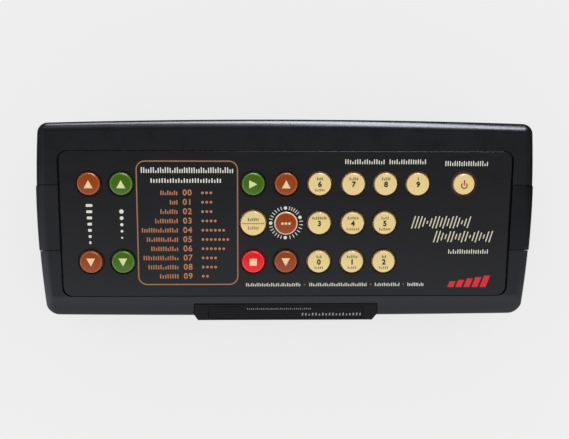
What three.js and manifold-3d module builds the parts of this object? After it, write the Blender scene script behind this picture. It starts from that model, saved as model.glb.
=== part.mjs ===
// An electronic tabla: a sloped table-top console with round push keys on a control panel,
// a display bezel on its front edge and a speaker behind a grille at each end.
// Millimetres, +Z up, origin on the table under the middle of the whole object.

import * as THREE from "three";
import { mergeVertices } from "three/addons/utils/BufferGeometryUtils.js";
import Module from "manifold-3d";

const wasm = await Module();
wasm.setup();

const degrees = Math.PI / 180;

// Shared clearances
const fit = 0.3; // gap between two pieces that touch on the real object
const overrun = 1; // how far a cutting solid runs past what it cuts
const weld = 0.5; // how far a joined feature sinks into what carries it
const mergeDistance = 1e-4;

// Case and the panel in its face: the height is taken to the sloped face at the panel's middle,
// and the depth is what the panel takes with a margin behind it and one in front of it.
const faceTilt = 15 * degrees;
const faceHeight = 62;
const halfWidth = 138;
const widestDepth = 8; // the depth at which the bowed ends are widest
const panelDepth = 82;
const panelEndMargin = 13.8; // from the panel's end to the case's widest place
const panelRearMargin = 17.6;
const panelFrontMargin = 11.4;
const panelWidth = 2 * (halfWidth - panelEndMargin);
const rearReach = (panelDepth / 2) * Math.cos(faceTilt) + panelRearMargin;
const frontReach = (panelDepth / 2) * Math.cos(faceTilt) + panelFrontMargin;
const endBowRadius = 530;
const rearBowRadius = 4450;
const frontBowRadius = 12600;
const cornerRadius = 5.5;
const tightestCorner = 1.5;
const sideFillet = 6;
const frontFillet = 11;
const tightestFillet = 1;
const wall = 3;
const footHeight = 4;
const partingHeight = 14;
const lowerStepIn = 0.5;
const lowerDraft = 0.5;
const baseFillet = 3;
const cornerSteps = 4;
const longSideSteps = 6;
const shortSideSteps = 4;
const filletSteps = 4;

// Control panel: a printed plate in a pocket of the face
const panelCorner = 5;
const panelThickness = 2.5;
const panelEndGroove = 1.1; // gap to the pocket's wall at the panel's ends
const panelLongGroove = 0.35; // and along its rear and front edges
const panelLedge = 5;
const ledgeThickness = 2.2;
const studRadius = 2.2;
const studMargin = 4;

// Keys
const capRadius = 6.2;
const programCapRadius = 6.9;
const powerCapRadius = 5.8;
const capHeight = 2;
const capChamfer = 0.7;
const capHoleGap = 0.7;
const flangeLip = 0.7;
const flangeThickness = 1;
const plungerSide = 3.8;
const keyTravel = 0.5;
const keySides = 16;

// Columns and rows of keys, on the face from the panel's middle: the two at the left end are
// placed from that end of the panel and the others from its right end, with gaps between caps.
const volumeInset = 15.8;
const bassGap = 5.3;
const powerInset = 26.3;
const powerGap = 13.2;
const digitGap = 5.4;
const firstDigitGap = 6.2;
const selectGap = 6.1;
const startGap = 5.7;
const middleRow = 1;
const rowGap = 9.6;
const capWidth = 2 * capRadius;
const volumeColumn = -panelWidth / 2 + volumeInset;
const bassColumn = volumeColumn + capWidth + bassGap;
const powerColumn = panelWidth / 2 - powerInset;
const fourthDigitColumn = powerColumn - capWidth - powerGap;
const thirdDigitColumn = fourthDigitColumn - capWidth - digitGap;
const secondDigitColumn = thirdDigitColumn - capWidth - digitGap;
const firstDigitColumn = secondDigitColumn - capWidth - firstDigitGap;
const selectColumn = firstDigitColumn - capWidth - selectGap;
const startColumn = selectColumn - capWidth - startGap;
const topRow = middleRow + capWidth + rowGap;
const bottomRow = middleRow - capWidth - rowGap;

// Key board under the panel, with one switch under each key
const switchSide = 12;
const switchHeight = 4;
const boardThickness = 1.6;
const keyBoardInset = 8;
const keyBoardWidth = panelWidth - 2 * keyBoardInset;
const keyBoardDepth = panelDepth - 2 * keyBoardInset;
const ribbonWidth = 24;
const ribbonThickness = 0.8;
const ribbonSteps = 8;
const plugWidth = 27;
const plugDepth = 5;
const plugHeight = 6;

// Display bezel on the front edge: its middle is placed from where the face would meet the front
const bezelTilt = 55 * degrees;
const bezelInset = 1.7;
const bezelDrop = 5.5;
const bezelWidth = 103;
const bezelHeight = 16.4;
const bezelThickness = 6;
const bezelFlare = 1.1; // how much wider it is at the cut corners than at the top
const bezelCutAcross = 2.2;
const bezelCutUp = 6.3;
const windowWidth = 88;
const windowHeight = 12.2;
const windowThickness = 1.6;
const windowCorner = 1.2;
const ledWidth = 78;
const ledHeight = 9.6;
const ledThickness = 8;
const seatMargin = 5;
const seatFloor = 2;
const displayBoardWidth = 96;
const displayBoardHeight = 17;
const displayPegRadius = 1.8;

// End grilles, let into the case at each end and wrapping over its edge
const grilleFront = -14;
const grilleRear = 21.4;
const grilleProud = 0.4;
const grilleThickness = 1.5; // the part of it that is let into the case
const grilleFoot = 17.5;
const louvreCount = 7;
const louvreHeight = 2;
const louvreInset = 1.5;

// Speakers, one behind each grille, as large as the height inside the case allows
const speakerFloorGap = 4.5;
const speakerFaceGap = 5.5;
const speakerTop = faceHeight - speakerFaceGap;
const speakerBottom = footHeight + wall + speakerFloorGap;
const speakerRadius = (speakerTop - speakerBottom) / 2;
const speakerHeight = (speakerTop + speakerBottom) / 2;
const speakerDepth = (grilleFront + grilleRear) / 2;
const speakerSeatInset = 5.2; // from the case's widest place in to the seat
const speakerSeatX = halfWidth - speakerSeatInset;
const speakerSeatWidth = 7;
const speakerHoleRadius = speakerRadius - speakerSeatWidth;
const flangeDepth = 1.5;
const flangeWidth = 4.5;
const flangeInner = speakerRadius - flangeWidth;
const basketDepth = 12;
const basketTaper = 10;
const basketEndRadius = speakerRadius - basketTaper;
const basketWall = 1.5;
const coilHoleRadius = 5;
const magnetInset = 9.5;
const magnetRadius = speakerRadius - magnetInset;
const magnetDepth = 7;
const magnetBack = basketDepth + basketWall + fit + magnetDepth;
const coneTravel = 0.5;
const coneGap = 0.6;
const coneRimThickness = 0.8;
const coneDepth = 8;
const formerRadius = 4.3;
const dustCapRadius = 5;
const dustCapRise = 1.2;
const speakerSides = 20;

// Screws, posts and feet
const postRadius = 4.5;
const postEndInset = 10.5;
const postRearInset = 11.2;
const postFrontInset = 11;
const postX = halfWidth - postEndInset;
const rearPostDepth = rearReach - postRearInset;
const frontPostDepth = -(frontReach - postFrontInset);
const screwRadius = 1.5;
const screwHeadRadius = 3.2;
const screwHeadHeight = 2.2;
const screwReach = 25;
const screwRecess = 1.2;
const postSides = 12;
const footRadius = 8;
const footEndInset = 30;
const footRearInset = 15.2;
const footFrontInset = 15;
const footX = halfWidth - footEndInset;
const rearFootDepth = rearReach - footRearInset;
const frontFootDepth = -(frontReach - footFrontInset);
const footRecess = 0.6;
const footChamfer = 0.8;
const footSides = 20;

// Transformer, beside the right speaker's magnet
const coreWidth = 41;
const coreHeight = 34;
const coreStack = 16;
const coreLeg = 6.8;
const coilWall = 6.2;
const transformerClearance = 5.9;
const transformerX = speakerSeatX - magnetBack - transformerClearance - coreWidth / 2;
const transformerDepth = 14;

// Main board on the floor of the lower shell, between the left speaker and the transformer
const boardLeftClearance = 20.4;
const boardRightClearance = 7.5;
const boardRearInset = 15.2;
const mainBoardLeft = -(speakerSeatX - magnetBack - boardLeftClearance);
const mainBoardRight = transformerX - coreWidth / 2 - boardRightClearance;
const mainBoardDepth = 72;
const mainBoardRear = rearReach - boardRearInset;
const mainBoardFront = mainBoardRear - mainBoardDepth;
const ribbonEndInset = 32;
const ribbonRearInset = 32;
const ribbonX = mainBoardLeft + ribbonEndInset;
const ribbonDepth = mainBoardRear - ribbonRearInset;
const standoffHeight = 7;
const standoffRadius = 3;
const standoffMargin = 5;
const capacitorRadius = 6;
const capacitorHeight = 20;
const capacitorPitch = 15;
const heatSinkWidth = 34;
const heatSinkDepth = 8;
const heatSinkHeight = 18;
const chipWidth = 20;
const chipDepth = 8;
const chipHeight = 3;
const chipPitch = 27;

// Rear sockets: the jacks stand on the main board, and the inlet is behind the transformer
const jackEndInset = 26;
const jackPitch = 26;
const headphoneX = mainBoardLeft + jackEndInset;
const lineOutX = headphoneX + jackPitch;
const jackRadius = 3.3;
const jackNoseRadius = 4.5;
const jackNoseProud = 2.6;
const jackBodyWidth = 16;
const jackBodyDepth = 24;
const jackBodyHeight = 13;
const jackBoreDepth = 22;
const nutRadius = 7;
const nutThickness = 2;
const inletOffset = 6;
const inletX = transformerX + inletOffset;
const inletHeight = 30;
const inletFlangeWidth = 25;
const inletFlangeHeight = 17;
const inletFlangeThickness = 1.6;
const inletBodyWidth = 19.4;
const inletBodyHeight = 12.4;
const inletBodyDepth = 19;
const inletCavityWidth = 14.4;
const inletCavityHeight = 8.2;
const inletCavityDepth = 13;
const inletPinRadius = 1.2;
const inletPinPitch = 8.6;
const inletPinLength = 9;

// Vents: slots in the base under the transformer and in the rear wall behind it
const ventCount = 6;
const ventWidth = 2.4;
const ventPitch = 6;
const baseVentLength = 30;
const rearVentLength = 14;
const rearVentHeight = 50;

// Levels that follow from these, on the face: zero is the face, minus is into the case
const topWall = panelThickness + fit + ledgeThickness;
const flangeTop = -(panelThickness + fit);
const flangeBottom = flangeTop - flangeThickness;
const switchTop = flangeBottom - keyTravel - fit;
const keyBoardTop = switchTop - switchHeight;
const keyBoardBottom = keyBoardTop - boardThickness;
const plungerEnd = keyBoardTop + keyTravel + fit;
const ribbonPlugBottom = keyBoardBottom - plugHeight;

// Levels that follow from these, above the table
const floorHeight = footHeight + wall;
const mainBoardBottom = floorHeight + standoffHeight + fit;
const mainBoardTop = mainBoardBottom + boardThickness;
const jackBodyBottom = mainBoardTop + fit;
const jackAxisHeight = jackBodyBottom + jackBodyHeight / 2;

// Materials
function plastic(color, roughness) {
  return new THREE.MeshStandardMaterial({ color, roughness, metalness: 0 });
}

function metal(color, roughness) {
  return new THREE.MeshStandardMaterial({ color, roughness, metalness: 1 });
}

const caseBlack = () => plastic(0x27282b, 0.45);
const panelBlack = () => plastic(0x1c1c1f, 0.35);
const glossBlack = () => plastic(0x0a0a0b, 0.15);
const capBrown = () => plastic(0x8a4326, 0.3);
const capGreen = () => plastic(0x3f6a22, 0.3);
const capCream = () => plastic(0xdccb8c, 0.35);
const capRed = () => plastic(0xe61a30, 0.3);
const boardGreen = () => plastic(0x1d5a34, 0.5);
const rubberBlack = () => plastic(0x141414, 0.9);
const steel = () => metal(0xb8b8ba, 0.35);
const darkSteel = () => metal(0x55565a, 0.5);
const paperBlack = () => plastic(0x202022, 0.9);
const tapeYellow = () => plastic(0xc9a43a, 0.6);

// Solids: geometry to a closed solid and back
function toSolid(geometry) {
  const bare = geometry.clone();
  bare.deleteAttribute("normal");
  bare.deleteAttribute("uv");
  const merged = mergeVertices(bare, mergeDistance);
  const corners = merged.index.array;
  const kept = [];
  for (let i = 0; i < corners.length; i += 3) {
    const [a, b, c] = [corners[i], corners[i + 1], corners[i + 2]];
    if (a !== b && b !== c && c !== a) kept.push(a, b, c);
  }
  const vertProperties = merged.attributes.position.array;
  const triVerts = new Uint32Array(kept);
  return new wasm.Manifold(new wasm.Mesh({ numProp: 3, vertProperties, triVerts }));
}

function toGeometry(solid) {
  const mesh = solid.getMesh();
  const geometry = new THREE.BufferGeometry();
  geometry.setAttribute("position", new THREE.BufferAttribute(mesh.vertProperties, 3));
  geometry.setIndex(new THREE.BufferAttribute(mesh.triVerts, 1));
  geometry.computeVertexNormals();
  return geometry;
}

function joined(first, others) {
  return others.reduce((whole, other) => whole.add(other), first);
}

function cut(first, others) {
  return others.reduce((whole, other) => whole.subtract(other), first);
}

// Plain shapes, each placed by its limits or by its middle
function block(xs, ys, zs) {
  const size = [xs[1] - xs[0], ys[1] - ys[0], zs[1] - zs[0]];
  const middle = [(xs[0] + xs[1]) / 2, (ys[0] + ys[1]) / 2, (zs[0] + zs[1]) / 2];
  return new THREE.BoxGeometry(...size).translate(...middle);
}

function around(middle, size) {
  return [middle - size / 2, middle + size / 2];
}

// A turned shape on the Z axis. The profile is a list of [radius, height] from the bottom up.
function turned(profile, sides) {
  const points = profile.map(([radius, height]) => new THREE.Vector2(radius, height));
  return new THREE.LatheGeometry(points, sides).rotateX(90 * degrees);
}

function drum(radius, bottom, top, sides) {
  return turned([[0, bottom], [radius, bottom], [radius, top], [0, top]], sides);
}

function roundedShape(width, height, radius) {
  const shape = new THREE.Shape();
  const x = width / 2 - radius;
  const y = height / 2 - radius;
  shape.absarc(x, y, radius, 0, 90 * degrees);
  shape.absarc(-x, y, radius, 90 * degrees, 180 * degrees);
  shape.absarc(-x, -y, radius, 180 * degrees, 270 * degrees);
  shape.absarc(x, -y, radius, 270 * degrees, 360 * degrees);
  return shape;
}

function plate(shape, bottom, top, curveSegments) {
  const options = { depth: top - bottom, bevelEnabled: false, curveSegments };
  return new THREE.ExtrudeGeometry(shape, options).translate(0, 0, bottom);
}

// Frames: the face's, with Z square to the face, and the display's, with Z out of the bezel
const faceFrame = new THREE.Group();
faceFrame.position.set(0, 0, faceHeight);
faceFrame.rotation.x = faceTilt;
faceFrame.updateMatrix();

const bezelDepthPlace = -(frontReach - bezelInset);
const displayFrame = new THREE.Group();
displayFrame.position.set(0, bezelDepthPlace, faceLevel(-frontReach) - bezelDrop);
displayFrame.rotation.x = bezelTilt;
displayFrame.updateMatrix();

function onFace(geometry) {
  return geometry.applyMatrix4(faceFrame.matrix);
}

function onDisplay(geometry) {
  return geometry.applyMatrix4(displayFrame.matrix);
}

// The case's form
function faceLevel(depth) {
  return faceHeight + depth * Math.tan(faceTilt);
}

function rearAt(x) {
  return rearReach - (x * x) / (2 * rearBowRadius);
}

function bowed(x, y) {
  const endLoss = (y - widestDepth) ** 2 / (2 * endBowRadius);
  const longRadius = y > 0 ? rearBowRadius : frontBowRadius;
  const longReach = y > 0 ? rearReach : frontReach;
  const longLoss = (x * x) / (2 * longRadius);
  return [x * (1 - endLoss / halfWidth), y * (1 - longLoss / longReach)];
}

// One ring of points round the plan, drawn in by an inset at the ends, the rear and the front.
function planRing(endInset, rearInset, frontInset, radius) {
  const x = halfWidth - endInset - radius;
  const rear = rearReach - rearInset - radius;
  const front = -(frontReach - frontInset - radius);
  const corners = [[x, rear], [-x, rear], [-x, front], [x, front]];
  const ring = [];
  corners.forEach(([cornerX, cornerY], i) => {
    const turn = i * 90 * degrees;
    for (let k = 0; k <= cornerSteps; k++) {
      const angle = turn + (k / cornerSteps) * 90 * degrees;
      ring.push([cornerX + radius * Math.cos(angle), cornerY + radius * Math.sin(angle), angle]);
    }
    const start = ring[ring.length - 1];
    const next = corners[(i + 1) % corners.length];
    const end = [next[0] + radius * Math.cos(start[2]), next[1] + radius * Math.sin(start[2])];
    const steps = i % 2 === 0 ? longSideSteps : shortSideSteps;
    for (let k = 1; k < steps; k++) {
      const share = k / steps;
      ring.push([
        start[0] + (end[0] - start[0]) * share,
        start[1] + (end[1] - start[1]) * share,
        start[2],
      ]);
    }
  });
  return ring.map(([px, py, angle]) => {
    const [bx, by] = bowed(px, py);
    return { x: bx, y: by, frontness: Math.max(0, -Math.sin(angle)) };
  });
}

// A closed solid through rings of [x, y, z] points that run anticlockwise, from the bottom up.
function loft(rings) {
  const count = rings[0].length;
  const index = [];
  for (let i = 0; i + 1 < rings.length; i++) {
    for (let j = 0; j < count; j++) {
      const a = i * count + j;
      const b = i * count + ((j + 1) % count);
      index.push(a, b, b + count, a, b + count, a + count);
    }
  }
  const top = (rings.length - 1) * count;
  for (let j = 1; j + 1 < count; j++) {
    index.push(0, j + 1, j, top, top + j, top + j + 1);
  }
  const geometry = new THREE.BufferGeometry();
  geometry.setAttribute("position", new THREE.Float32BufferAttribute(rings.flat(2), 3));
  geometry.setIndex(index);
  return geometry;
}

// The case's outer form, or one inside it, from a flat bottom up to the rounded, sloped top.
function caseForm(inset, topInset, bottom) {
  const side = Math.max(sideFillet - inset, tightestFillet);
  const front = Math.max(frontFillet - inset, tightestFillet);
  const radius = Math.max(cornerRadius - inset, tightestCorner);
  const foot = planRing(inset, inset, inset, radius).map(({ x, y }) => [x, y, bottom]);
  const rings = [foot];
  for (let k = 0; k <= filletSteps; k++) {
    const angle = (k / filletSteps) * 90 * degrees;
    const inward = 1 - Math.cos(angle);
    const downward = 1 - Math.sin(angle);
    const ringRadius = Math.max(radius - side * inward, tightestCorner);
    const ends = inset + side * inward;
    const ring = planRing(ends, ends, inset + front * inward, ringRadius);
    rings.push(ring.map(({ x, y, frontness }) => {
      const fillet = side + (front - side) * frontness;
      const depth = topInset + fillet * downward;
      return [x, y, faceLevel(y) - depth / Math.cos(faceTilt)];
    }));
  }
  return loft(rings);
}

// Keys
const keyTable = [
  { name: "key_volume_up", x: volumeColumn, y: topRow, material: capBrown },
  { name: "key_volume_down", x: volumeColumn, y: bottomRow, material: capBrown },
  { name: "key_bass_up", x: bassColumn, y: topRow, material: capGreen },
  { name: "key_bass_down", x: bassColumn, y: bottomRow, material: capGreen },
  { name: "key_start", x: startColumn, y: topRow, material: capGreen },
  { name: "key_program", x: startColumn, y: middleRow, material: capCream },
  { name: "key_stop", x: startColumn, y: bottomRow, material: capRed },
  { name: "key_value_up", x: selectColumn, y: topRow, material: capBrown },
  { name: "key_select", x: selectColumn, y: middleRow, material: capBrown },
  { name: "key_value_down", x: selectColumn, y: bottomRow, material: capBrown },
  { name: "key_6", x: firstDigitColumn, y: topRow, material: capCream },
  { name: "key_7", x: secondDigitColumn, y: topRow, material: capCream },
  { name: "key_8", x: thirdDigitColumn, y: topRow, material: capCream },
  { name: "key_9", x: fourthDigitColumn, y: topRow, material: capCream },
  { name: "key_3", x: firstDigitColumn, y: middleRow, material: capCream },
  { name: "key_4", x: secondDigitColumn, y: middleRow, material: capCream },
  { name: "key_5", x: thirdDigitColumn, y: middleRow, material: capCream },
  { name: "key_0", x: firstDigitColumn, y: bottomRow, material: capCream },
  { name: "key_1", x: secondDigitColumn, y: bottomRow, material: capCream },
  { name: "key_2", x: thirdDigitColumn, y: bottomRow, material: capCream },
  { name: "key_power", x: powerColumn, y: topRow, material: capCream },
];

const oddCaps = { key_program: programCapRadius, key_power: powerCapRadius };

function capRadiusOf(key) {
  return oddCaps[key.name] ?? capRadius;
}

// A key: a chamfered cap, the flange that keeps it in and the square plunger of its switch.
function keyGeometry(radius) {
  const flange = radius + capHoleGap + flangeLip;
  const cap = turned([
    [0, flangeBottom],
    [flange, flangeBottom],
    [flange, flangeTop],
    [radius, flangeTop],
    [radius, capHeight - capChamfer],
    [radius - capChamfer, capHeight],
    [0, capHeight],
  ], keySides);
  const across = around(0, plungerSide);
  const plunger = block(across, across, [plungerEnd, flangeBottom + weld]);
  return toGeometry(toSolid(cap).add(toSolid(plunger)));
}

// Control panel: the plate, a hole for each key and the studs that carry the key board
function studPlaces() {
  const ends = keyBoardWidth / 2 - studMargin;
  const frontPlace = keyBoardDepth / 2 - studMargin;
  const printMiddle = (bassColumn + startColumn) / 2;
  const beforeDigits = (selectColumn + firstDigitColumn) / 2;
  const lastDigits = (thirdDigitColumn + fourthDigitColumn) / 2;
  const beforePower = (fourthDigitColumn + powerColumn) / 2;
  return [
    [-ends, middleRow],
    [ends, middleRow],
    [printMiddle, frontPlace],
    [printMiddle, -frontPlace],
    [beforeDigits, (topRow + middleRow) / 2],
    [lastDigits, (middleRow + bottomRow) / 2],
    [beforePower, -frontPlace],
  ];
}

function controlPanel() {
  const body = toSolid(plate(roundedShape(panelWidth, panelDepth, panelCorner), -panelThickness, 0, 4));
  const studs = studPlaces().map(([x, y]) =>
    toSolid(drum(studRadius, keyBoardTop + fit, -panelThickness + weld, postSides).translate(x, y, 0)));
  const holes = keyTable.map((key) =>
    toSolid(drum(capRadiusOf(key) + capHoleGap, -panelThickness - overrun, overrun, keySides)
      .translate(key.x, key.y, 0)));
  return toGeometry(cut(joined(body, studs), holes));
}

// Key board: the board, a switch housing under each key and the ribbon's plug below
function keyBoard() {
  const board = toSolid(block(
    around(0, keyBoardWidth),
    around(0, keyBoardDepth),
    [keyBoardBottom, keyBoardTop],
  ));
  const housings = keyTable.map(({ x, y }) =>
    toSolid(block(around(x, switchSide), around(y, switchSide), [keyBoardTop - weld, switchTop])));
  const bore = plungerSide + 2 * fit;
  const bores = keyTable.map(({ x, y }) =>
    toSolid(block(around(x, bore), around(y, bore), [keyBoardTop, switchTop + overrun])));
  const plug = toSolid(block(
    around(ribbonX, plugWidth),
    around(ribbonDepth, plugDepth),
    [ribbonPlugBottom, keyBoardBottom + weld],
  ));
  return toGeometry(cut(joined(board, [plug, ...housings]), bores));
}

// Ribbon cable from the key board's plug down to the main board's
function ribbonTop() {
  const place = new THREE.Vector3(ribbonX, ribbonDepth, ribbonPlugBottom);
  place.applyMatrix4(faceFrame.matrix);
  return new THREE.Vector2(place.y, place.z - fit - ribbonThickness * Math.sin(faceTilt));
}

function ribbonCable() {
  const top = ribbonTop();
  const bottom = new THREE.Vector2(ribbonDepth, mainBoardTop + plugHeight + fit);
  const right = [];
  const left = [];
  for (let k = 0; k <= ribbonSteps; k++) {
    const share = k / ribbonSteps;
    const eased = share * share * (3 - 2 * share);
    const y = bottom.x + (top.x - bottom.x) * eased;
    const z = bottom.y + (top.y - bottom.y) * share;
    right.push(new THREE.Vector2(y + ribbonThickness / 2, z));
    left.unshift(new THREE.Vector2(y - ribbonThickness / 2, z));
  }
  const strip = plate(new THREE.Shape([...right, ...left]), ...around(0, ribbonWidth), 1);
  // The strip is drawn in depth and height, so its own X turns to depth and its Y to height.
  const turn = new THREE.Matrix4().set(0, 0, 1, ribbonX, 1, 0, 0, 0, 0, 1, 0, 0, 0, 0, 0, 1);
  return strip.applyMatrix4(turn);
}

// Display: bezel, window, digits and board, in the display's frame
function bezelShape(margin) {
  const x = bezelWidth / 2 + margin;
  const top = bezelHeight / 2 + margin;
  const wide = x + bezelFlare;
  const cutX = wide - bezelCutAcross;
  const cutY = -top + bezelCutUp;
  const outline = [[-cutX, -top], [cutX, -top], [wide, cutY], [x, top], [-x, top], [-wide, cutY]];
  return new THREE.Shape(outline.map(([px, py]) => new THREE.Vector2(px, py)));
}

function displayBezel() {
  const body = toSolid(plate(bezelShape(0), -bezelThickness, 0, 1));
  const pocket = toSolid(plate(
    roundedShape(windowWidth + 2 * fit, windowHeight + 2 * fit, windowCorner + fit),
    -windowThickness - fit,
    overrun,
    2,
  ));
  const through = toSolid(block(
    around(0, ledWidth + 2 * fit),
    around(0, ledHeight + 2 * fit),
    [-bezelThickness - overrun, 0],
  ));
  return toGeometry(cut(body, [pocket, through]));
}

const ledFront = -windowThickness - 2 * fit;
const ledBack = ledFront - ledThickness;
const displayBoardFront = ledBack - fit;
const displayBoardBack = displayBoardFront - boardThickness;
const seatFront = -bezelThickness - fit;
const seatBack = seatFront - seatFloor;

function displayWindow() {
  return plate(roundedShape(windowWidth, windowHeight, windowCorner), -windowThickness, 0, 2);
}

function ledDisplay() {
  return block(around(0, ledWidth), around(0, ledHeight), [ledBack, ledFront]);
}

function displayBoard() {
  return block(
    around(0, displayBoardWidth),
    around(0, displayBoardHeight),
    [displayBoardBack, displayBoardFront],
  );
}

// What the upper shell has for the display: a thick seat, pegs for the board, and two cuts
function displaySeat() {
  return toSolid(onDisplay(block(
    around(0, bezelWidth + 2 * seatMargin),
    around(0, bezelHeight + 2 * seatMargin),
    [seatBack, bezelThickness],
  )));
}

function displayPegs() {
  const x = (ledWidth / 2 + displayBoardWidth / 2) / 2;
  const y = displayBoardHeight / 2 - displayPegRadius;
  return [[x, y], [x, -y], [-x, y], [-x, -y]].map(([px, py]) =>
    toSolid(onDisplay(
      drum(displayPegRadius, displayBoardFront + fit, seatBack + weld, postSides).translate(px, py, 0))));
}

function displayCuts() {
  const bezel = plate(bezelShape(fit), seatFront, bezelHeight, 1);
  const digits = block(
    around(0, ledWidth + 2 * fit),
    around(0, ledHeight + 2 * fit),
    [seatBack - overrun, 0],
  );
  return [bezel, digits].map((geometry) => toSolid(onDisplay(geometry)));
}

// End grilles: side is 1 at the right end and -1 at the left
function grilleZone(side, clearance) {
  const inner = panelWidth / 2 + panelEndGroove - clearance;
  const outer = halfWidth + wall;
  const xs = side > 0 ? [inner, outer] : [-outer, -inner];
  const top = faceLevel(grilleRear) + wall;
  return toSolid(block(
    xs,
    [grilleFront - clearance, grilleRear + clearance],
    [grilleFoot - clearance, top],
  ));
}

function endGrille(side) {
  const outer = toSolid(caseForm(-grilleProud, -grilleProud, partingHeight));
  const inner = toSolid(caseForm(grilleThickness, grilleThickness, partingHeight));
  const skin = outer.subtract(inner).intersect(grilleZone(side, 0));
  const pitch = (2 * speakerHoleRadius) / louvreCount;
  const slots = [];
  for (let k = 0; k < louvreCount; k++) {
    const z = speakerHeight + (k - (louvreCount - 1) / 2) * pitch;
    const xs = side > 0 ? [speakerSeatX, halfWidth + wall] : [-halfWidth - wall, -speakerSeatX];
    const ys = around(speakerDepth, 2 * (speakerHoleRadius - louvreInset));
    slots.push(toSolid(block(xs, ys, around(z, louvreHeight))));
  }
  return toGeometry(cut(skin, slots));
}

function grilleRecess(side) {
  const depth = grilleThickness + fit;
  return grilleZone(side, fit).subtract(toSolid(caseForm(depth, depth, partingHeight)));
}

// Speakers are turned on their own axis, from the seat inwards, then laid along X.
function layAlongX(geometry, side) {
  const turn = side > 0 ? -90 * degrees : 90 * degrees;
  return geometry.rotateY(turn).translate(side * speakerSeatX, speakerDepth, speakerHeight);
}

function speakerFrame(side) {
  const rimOuter = flangeInner + basketWall;
  return layAlongX(turned([
    [coilHoleRadius, basketDepth],
    [basketEndRadius - basketWall, basketDepth],
    [flangeInner, fit + flangeDepth],
    [flangeInner, fit],
    [speakerRadius, fit],
    [speakerRadius, fit + flangeDepth],
    [rimOuter, fit + flangeDepth],
    [basketEndRadius, basketDepth + basketWall],
    [coilHoleRadius, basketDepth + basketWall],
    [coilHoleRadius, basketDepth],
  ], speakerSides), side);
}

function speakerMagnet(side) {
  const front = basketDepth + basketWall + fit;
  return layAlongX(drum(magnetRadius, front, front + magnetDepth, speakerSides), side);
}

function speakerCone(side) {
  const rim = flangeInner - coneGap;
  const rimFront = fit + coneTravel;
  const formerEnd = basketDepth + basketWall + fit - coneGap;
  const capEdge = rimFront + coneDepth * (1 - dustCapRadius / rim);
  return layAlongX(turned([
    [0, capEdge - dustCapRise],
    [dustCapRadius, capEdge],
    [rim, rimFront],
    [rim, rimFront + coneRimThickness],
    [formerRadius, rimFront + coneDepth],
    [formerRadius, formerEnd],
    [0, formerEnd],
  ], speakerSides), side);
}

// What the upper shell has for a speaker: a flat seat ring and the hole behind the grille
function speakerSeat(side) {
  const reach = halfWidth - wall / 2 - speakerSeatX;
  return toSolid(layAlongX(drum(speakerRadius, -reach, 0, speakerSides), side));
}

function speakerHole(side) {
  const reach = halfWidth + wall - speakerSeatX;
  return toSolid(layAlongX(drum(speakerHoleRadius, -reach, overrun, speakerSides), side));
}

// Screw posts: one at each corner
const postPlaces = [
  { name: "rear_left", x: -postX, y: rearPostDepth },
  { name: "rear_right", x: postX, y: rearPostDepth },
  { name: "front_left", x: -postX, y: frontPostDepth },
  { name: "front_right", x: postX, y: frontPostDepth },
];

const screwHeadTop = footHeight + screwRecess + screwHeadHeight;

function screw({ x, y }) {
  const headBottom = footHeight + screwRecess;
  return turned([
    [0, headBottom],
    [screwHeadRadius, headBottom],
    [screwHeadRadius, screwHeadTop],
    [screwRadius, screwHeadTop],
    [screwRadius, screwReach],
    [0, screwReach],
  ], postSides).translate(x, y, 0);
}

// Upper shell
function upperPost({ x, y }) {
  return toSolid(drum(postRadius, partingHeight, faceLevel(y), postSides).translate(x, y, 0));
}

function upperPostBore({ x, y }) {
  const top = screwReach + fit;
  return toSolid(drum(screwRadius + fit, partingHeight - overrun, top, postSides).translate(x, y, 0));
}

function panelPocket() {
  const width = panelWidth + 2 * panelEndGroove;
  const depth = panelDepth + 2 * panelLongGroove;
  const shape = roundedShape(width, depth, panelCorner + panelLongGroove);
  return toSolid(onFace(plate(shape, -panelThickness - fit, frontFillet, 4)));
}

function panelOpening() {
  const width = panelWidth - 2 * panelLedge;
  const depth = panelDepth - 2 * panelLedge;
  return toSolid(onFace(block(around(0, width), around(0, depth), [-topWall - overrun, 0])));
}

const jackPlaces = [
  { name: "line_out", x: lineOutX },
  { name: "headphone", x: headphoneX },
];

// A drum laid along Y, pointing to the rear, at one place on the rear wall.
function rearDrum(radius, front, rear, x, z, sides) {
  return drum(radius, front, rear, sides).rotateX(-90 * degrees).translate(x, 0, z);
}

function rearCuts() {
  const inside = rearReach - 2 * wall;
  const outside = rearReach + overrun;
  const jackHoles = jackPlaces.map(({ x }) =>
    toSolid(rearDrum(jackNoseRadius + fit, inside, outside, x, jackAxisHeight, keySides)));
  const inletHole = toSolid(block(
    around(inletX, inletBodyWidth + 2 * fit),
    [inside, outside],
    around(inletHeight, inletBodyHeight + 2 * fit),
  ));
  const vents = ventPlaces().map((x) =>
    toSolid(block(around(x, ventWidth), [inside, outside], around(rearVentHeight, rearVentLength))));
  return [...jackHoles, inletHole, ...vents];
}

function ventPlaces() {
  return Array.from({ length: ventCount }, (_, k) =>
    transformerX + (k - (ventCount - 1) / 2) * ventPitch);
}

function upperShell() {
  const outer = toSolid(caseForm(0, 0, partingHeight));
  const hollow = toSolid(caseForm(wall, topWall, partingHeight - overrun));
  const sides = [-1, 1];
  const inner = [displaySeat(), ...postPlaces.map(upperPost), ...sides.map(speakerSeat)];
  const solid = joined(outer.subtract(hollow), inner.map((piece) => piece.intersect(outer)));
  const cuts = [
    panelPocket(),
    panelOpening(),
    ...displayCuts(),
    ...sides.map(grilleRecess),
    ...sides.map(speakerHole),
    ...postPlaces.map(upperPostBore),
    ...rearCuts(),
  ];
  return toGeometry(joined(cut(solid, cuts), displayPegs()));
}

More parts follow.
